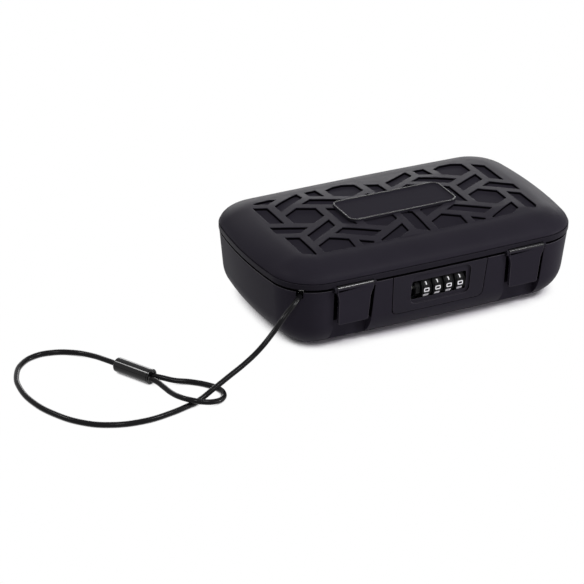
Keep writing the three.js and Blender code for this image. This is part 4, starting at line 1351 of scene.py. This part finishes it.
def wheel_outline(flat, ridge):
    """Ten flats with a ridge between each two; one flat faces forward."""
    points = []
    corner_radius = flat / math.cos(math.radians(12))
    for k in range(10):
        between = 180 + 36 * (k + 0.5)
        points += [polar(ridge, between - 3), polar(ridge, between + 3),
                   polar(corner_radius, between + 6), polar(corner_radius, between + 30)]
    return [WHEEL_AXIS.yz + point for point in points]


def ring_groove(x):
    """A ring that cuts a fine groove round the wheel's edge."""
    points = [Vector((x + dx, WHEEL_AXIS.y, WHEEL_AXIS.z + r)) for dx, r in GROOVE]
    return turned("groove", points, WHEEL_AXIS, (1, 0, 0), 60, closed=True)


def blank_wheel(name, left, right, flat, ridge, grooves):
    wheel = across(name, wheel_outline(flat, ridge), left, right)
    cut(wheel, rod_on(WHEEL_AXIS, "bore", 1.8, left - 1, right + 1, 32), *[ring_groove(x) for x in grooves])
    tidy_mesh(wheel, 0.005)
    return round_edges(wheel, 0.09, 2, 20)


x = WHEEL_PLACES[0]
first_wheel = blank_wheel("number_wheel_1", x - 3.6, x + 3.6, FACET, 8.3, [x + dx for dx in GROOVE_PLACES])
add_finishes(first_wheel, wheel_plastic)
print("faces of the blank wheel:", len(first_wheel.data.polygons))

# %% Digits
SIDE, TOP, STROKE = 1.72, 1.15, 0.38
RING = [(0, TOP), (-SIDE, TOP), (-SIDE, -TOP), (SIDE, -TOP), (SIDE, TOP), (0, TOP)]
STROKES = {
    0: [RING],
    1: [[(-0.7, 0.8), (0.1, TOP), (0.1, -TOP)]],
    2: [[(-SIDE, TOP), (SIDE, TOP), (SIDE, 0), (-SIDE, 0), (-SIDE, -TOP), (SIDE, -TOP)]],
    3: [[(-SIDE, TOP), (SIDE, TOP), (SIDE, -TOP), (-SIDE, -TOP)], [(-1, 0), (SIDE, 0)]],
    4: [[(-SIDE, TOP), (-SIDE, -0.1), (SIDE, -0.1)], [(1, TOP), (1, -TOP)]],
    5: [[(SIDE, TOP), (-SIDE, TOP), (-SIDE, 0), (SIDE, 0), (SIDE, -TOP), (-SIDE, -TOP)]],
    6: [[(SIDE, TOP), (-SIDE, TOP), (-SIDE, -TOP), (SIDE, -TOP), (SIDE, 0), (-SIDE, 0)]],
    7: [[(-SIDE, TOP), (SIDE, TOP), (0.1, -TOP)]],
    8: [RING, [(-SIDE, 0), (SIDE, 0)]],
    9: [[(-SIDE, -TOP), (SIDE, -TOP), (SIDE, TOP), (-SIDE, TOP), (-SIDE, 0), (SIDE, 0)]],
}


def stroke(points):
    """A raised line of paint, round at its ends and rounded where it turns."""
    bends = rounded(points, [0] + [0.42] * (len(points) - 2) + [0], 5)
    data, spline = tube("stroke", "POLY", STROKE * MM, 2)
    spline.points.add(len(bends) - 1)
    for knot, point in zip(spline.points, bends):
        knot.co = (point.x * MM, point.y * MM, 0, 1)
    line = into_mesh("stroke", data)
    line.scale = (1, 1, 0.08)
    return smooth(settle(line, "stroke"), 60)


def digit(number, x):
    """A digit on its facet: 0 faces forward and 1 is above it."""
    shape = gather("digit", [stroke(points) for points in STROKES[number]])
    turn = Matrix.Rotation(math.radians(-36 * number), 4, "X")
    stand = Matrix.Rotation(math.radians(90), 4, "X")
    axis = Matrix.Translation((x * MM, WHEEL_AXIS.y * MM, WHEEL_AXIS.z * MM))
    shape.matrix_world = axis @ turn @ Matrix.Translation((0, (-FACET - 0.01) * MM, 0)) @ stand
    return settle(shape, "digit")


def paint_on(piece, material, marks):
    """Adds painted shapes to a piece, with the paint as its second material."""
    for mark in marks:
        mark.data.materials.append(material)
    return gather(piece.name, [piece, *marks])


paint_on(first_wheel, digit_white, [digit(number, WHEEL_PLACES[0]) for number in range(10)])
wheels = [first_wheel, *[twin(first_wheel, f"number_wheel_{i + 1}", WHEEL_PITCH * i) for i in (1, 2, 3)]]
for i, wheel in enumerate(wheels, 1):
    finish_piece(wheel, wheel_plastic, f"dial_{i}", f"dial_{i}")

# %% End collar and shaft
end_collar = blank_wheel("plain_collar", -17.65, -14.05, 5.9, 6.4, [])
finish_piece(end_collar, wheel_plastic, "base", "end_collar")
shaft = domed_pin(WHEEL_AXIS, "wheel_shaft", 1.5, -30, 30)
finish_piece(shaft, plated_steel, "base", "dial_shaft")

# %% [markdown]
# ## The metal inside
#
# The housing, the bolt and the strike are simple shapes whose solids are already right. Each is copied from the
# frame, its loose triangles are merged back into flat faces, and its edges are rounded as a cast or cut part's are.

# %% Refined copies of solids
COPIES = [
    ("lock_housing", "cast_housing", 0.3, zinc, "base", "zinc"),
    ("lock_bolt", "sliding_bolt", 0.35, plated_steel, "bolt", "steel"),
    ("lock_strike", "lid_strike", 0.25, plated_steel, "lid", "steel"),
    ("detent_spring", "leaf_spring", 0.08, spring_steel, "base", "steel"),
]


def refined(node, name, width):
    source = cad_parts[node]
    copy = bpy.data.objects.new(name, source.data.copy())
    copy.matrix_world = source.matrix_world
    bpy.context.scene.collection.objects.link(copy)
    copy.data.materials.clear()
    pick_all(copy)
    bpy.ops.mesh.remove_doubles(threshold=0.005 * MM)
    bpy.ops.mesh.dissolve_limited(angle_limit=math.radians(1))
    bpy.ops.mesh.normals_make_consistent(inside=False)
    leave_edit()
    return round_edges(settle(copy, name), width, 2, 30)


for node, name, width, material, body, slot in COPIES:
    finish_piece(refined(node, name, width), material, body, node)

# %% Screws with a cross recess
def box_in_mm(node):
    return [Vector(end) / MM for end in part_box(node)]


def cross_screw(name, place, into, shank):
    """A pan-head screw; the point is the middle of its head's face, and into is the way it goes in."""
    profile = [(0, 0.0), (1.5, 0.04), (2.2, 0.3), (2.6, 0.9), (2.6, 1.9), (2.5, 2), (1.3, 2)]
    depth = 2.0
    while depth < 1.2 + shank:
        profile += [(1.3, depth + 0.15), (1.05, depth + 0.4), (1.3, depth + 0.65)]
        depth += 0.65
    profile += [(1.0, 1.7 + shank), (0, 2 + shank)]
    side = into.orthogonal().normalized()
    screw = turned(name, [place + into * h + side * r for r, h in profile], place, into, 28)
    for wing in (side, into.cross(side)):
        clear_selection()
        bpy.ops.mesh.primitive_cube_add(size=MM)
        slot = bpy.context.object
        shape = Matrix((wing * 2.6, wing.cross(into) * 0.55, into * 1.6)).transposed().to_4x4()
        slot.matrix_world = Matrix.Translation(place * MM) @ shape
        cut(screw, settle(slot, "slot"))
    return smooth(screw, 35)


for i, (x, z) in enumerate(SCREW_PLACES, 1):
    screw = cross_screw(f"pan_screw_{i}", Vector((x, SCREW_FACE, z)), Vector((0, -1, 0)), 5.3)
    finish_piece(screw, plated_steel, "base", f"lock_screw_{i}")
for i in (1, 2):
    low, high = box_in_mm(f"strike_screw_{i}")
    head = Vector(((low.x + high.x) / 2, (low.y + high.y) / 2, low.z))
    screw = cross_screw(f"lid_screw_{i}", head, Vector((0, 0, 1)), 4.5)
    finish_piece(screw, plated_steel, "lid", f"strike_screw_{i}")

# %% Bolt spring and cable stop
def coil_spring(wire=0.35, coil=1.5, turns=5):
    """An open coil between the ends of its solid."""
    low, high = box_in_mm("bolt_spring")
    centre = (low + high) / 2
    length = high.x - low.x - 2 * wire
    steps = turns * 16
    data, spline = tube("return_spring", "NURBS", wire * MM, 3)
    spline.points.add(steps)
    for i, point in enumerate(spline.points):
        angle = i / steps * turns * 2 * math.pi
        place = Vector((low.x + wire + i / steps * length, centre.y, centre.z))
        place += Vector((0, math.cos(angle), math.sin(angle))) * coil
        point.co = (*place * MM, 1)
    spline.use_endpoint_u = True
    return smooth(into_mesh("return_spring", data), 60)


def crimped_stop():
    """The swaged end of the cable behind the notch, with three crimp marks."""
    profile = [(17.1, 0), (17.1, 2.9), (17.5, 3.4), (18, 3.6)]
    for start in (19.3, 21.3, 23.3):
        profile += [(start, 3.6), (start + 0.3, 3.3), (start + 0.9, 3.3), (start + 1.2, 3.6)]
    profile += [(25.4, 3.6), (25.9, 3.4), (26.1, 3), (26.1, 0)]
    points = [Vector((h, 0, CABLE_EXIT + r)) for h, r in profile]
    return smooth(at_notch(turned("crimped_stop", points, (0, 0, CABLE_EXIT), (1, 0, 0), 36)), 30)


finish_piece(coil_spring(), spring_steel, "base", "bolt_spring")
finish_piece(crimped_stop(), plated_steel, "base", "cable_stop")

# %% [markdown]
# ## The sleeve of the cable
#
# The eye is closed by a shiny black sleeve with a rounded mouth and a narrow ring at its other end. It is spun from
# its profile round its own slanted axis, so its highlight runs straight along it.

# %% Sleeve and its ring
SLEEVE_START = Vector((-227.1, -27.8, 5.4))
SLEEVE_END = Vector((-212.3, -54.7, 5.4))
sleeve_along = (SLEEVE_END - SLEEVE_START).normalized()
sleeve_length = (SLEEVE_END - SLEEVE_START).length


def turned_on_sleeve(name, profile):
    points = [SLEEVE_START + sleeve_along * h + Vector((0, 0, r)) for h, r in profile]
    return turned(name, points, SLEEVE_START, sleeve_along, 48, closed=True)


def make_sleeve():
    last = sleeve_length - 1.9
    mouth = [(0.9, 2), (0.5, 2.4), (0.3, 3), (0.36, 3.8), (0.66, 4.5), (1.14, 4.92), (1.7, 5.1)]
    body = [(last - 0.15, 5.1), (last, 4.95), (last, 2), (8, 2)]
    return smooth(turned_on_sleeve("crimp_sleeve", [*mouth, *body]), 50)


def make_ring():
    first, last = sleeve_length - 1.6, sleeve_length - 0.3
    return smooth(turned_on_sleeve("sleeve_ring", [
        (first, 0.02), (first, 5.15), (first + 0.2, 5.35), (last - 0.2, 5.35), (last, 5.15), (last, 4),
        (last - 0.5, 3.7), (last - 0.5, 0.02),
    ]))


sleeve = finish_piece(make_sleeve(), sleeve_gloss, "base", "ferrule")
sleeve_ring = finish_piece(make_ring(), sleeve_gloss, "base", "ferrule_collar")

# %% [markdown]
# ## The foam mat
#
# A thin mat of open foam lies on the floor of the case. Its upper edge is worn soft and it isn't quite flat, so a
# profile is spun for its edge, its top is divided and gentle waves move it.

# %% Foam mat
MAT_EDGE = [(27, 4.3), (25.9, 4.3), (25.55, 4.7), (25.5, 5.4), (25.6, 6.1), (26.1, 6.6), (27, 6.75)]


def make_mat():
    profile = [in_front(*point) for point in MAT_EDGE]
    mat = close_ends(sweep_round("foam_mat", profile), profile)
    for axis, places in ((Vector((1, 0, 0)), range(-88, 89, 8)), (Vector((0, 1, 0)), range(-40, 41, 8))):
        for place in places:
            pick(mat, "FACE", lambda f: f.normal.z > 0.95 and middle(f).z > 6.7)
            bpy.ops.mesh.bisect(plane_co=axis * place * MM, plane_no=axis)
            leave_edit()
    for vertex in mat.data.vertices:
        x, y, z = vertex.co / MM
        if z > 6.7 and abs(x) < 92 and abs(y) < 43:
            vertex.co.z -= (0.12 + 0.06 * math.sin(x / 9.0 + 1.3) + 0.06 * math.sin(y / 7.0 + x / 23.0)) * MM
    return smooth(mat, 50)


mat = finish_piece(make_mat(), foam, "base", "floor_mat")

# %% [markdown]
# ## The end
#
# The dressed model has to fill the same box as the frame.

# %% Clear the selection
clear_selection()
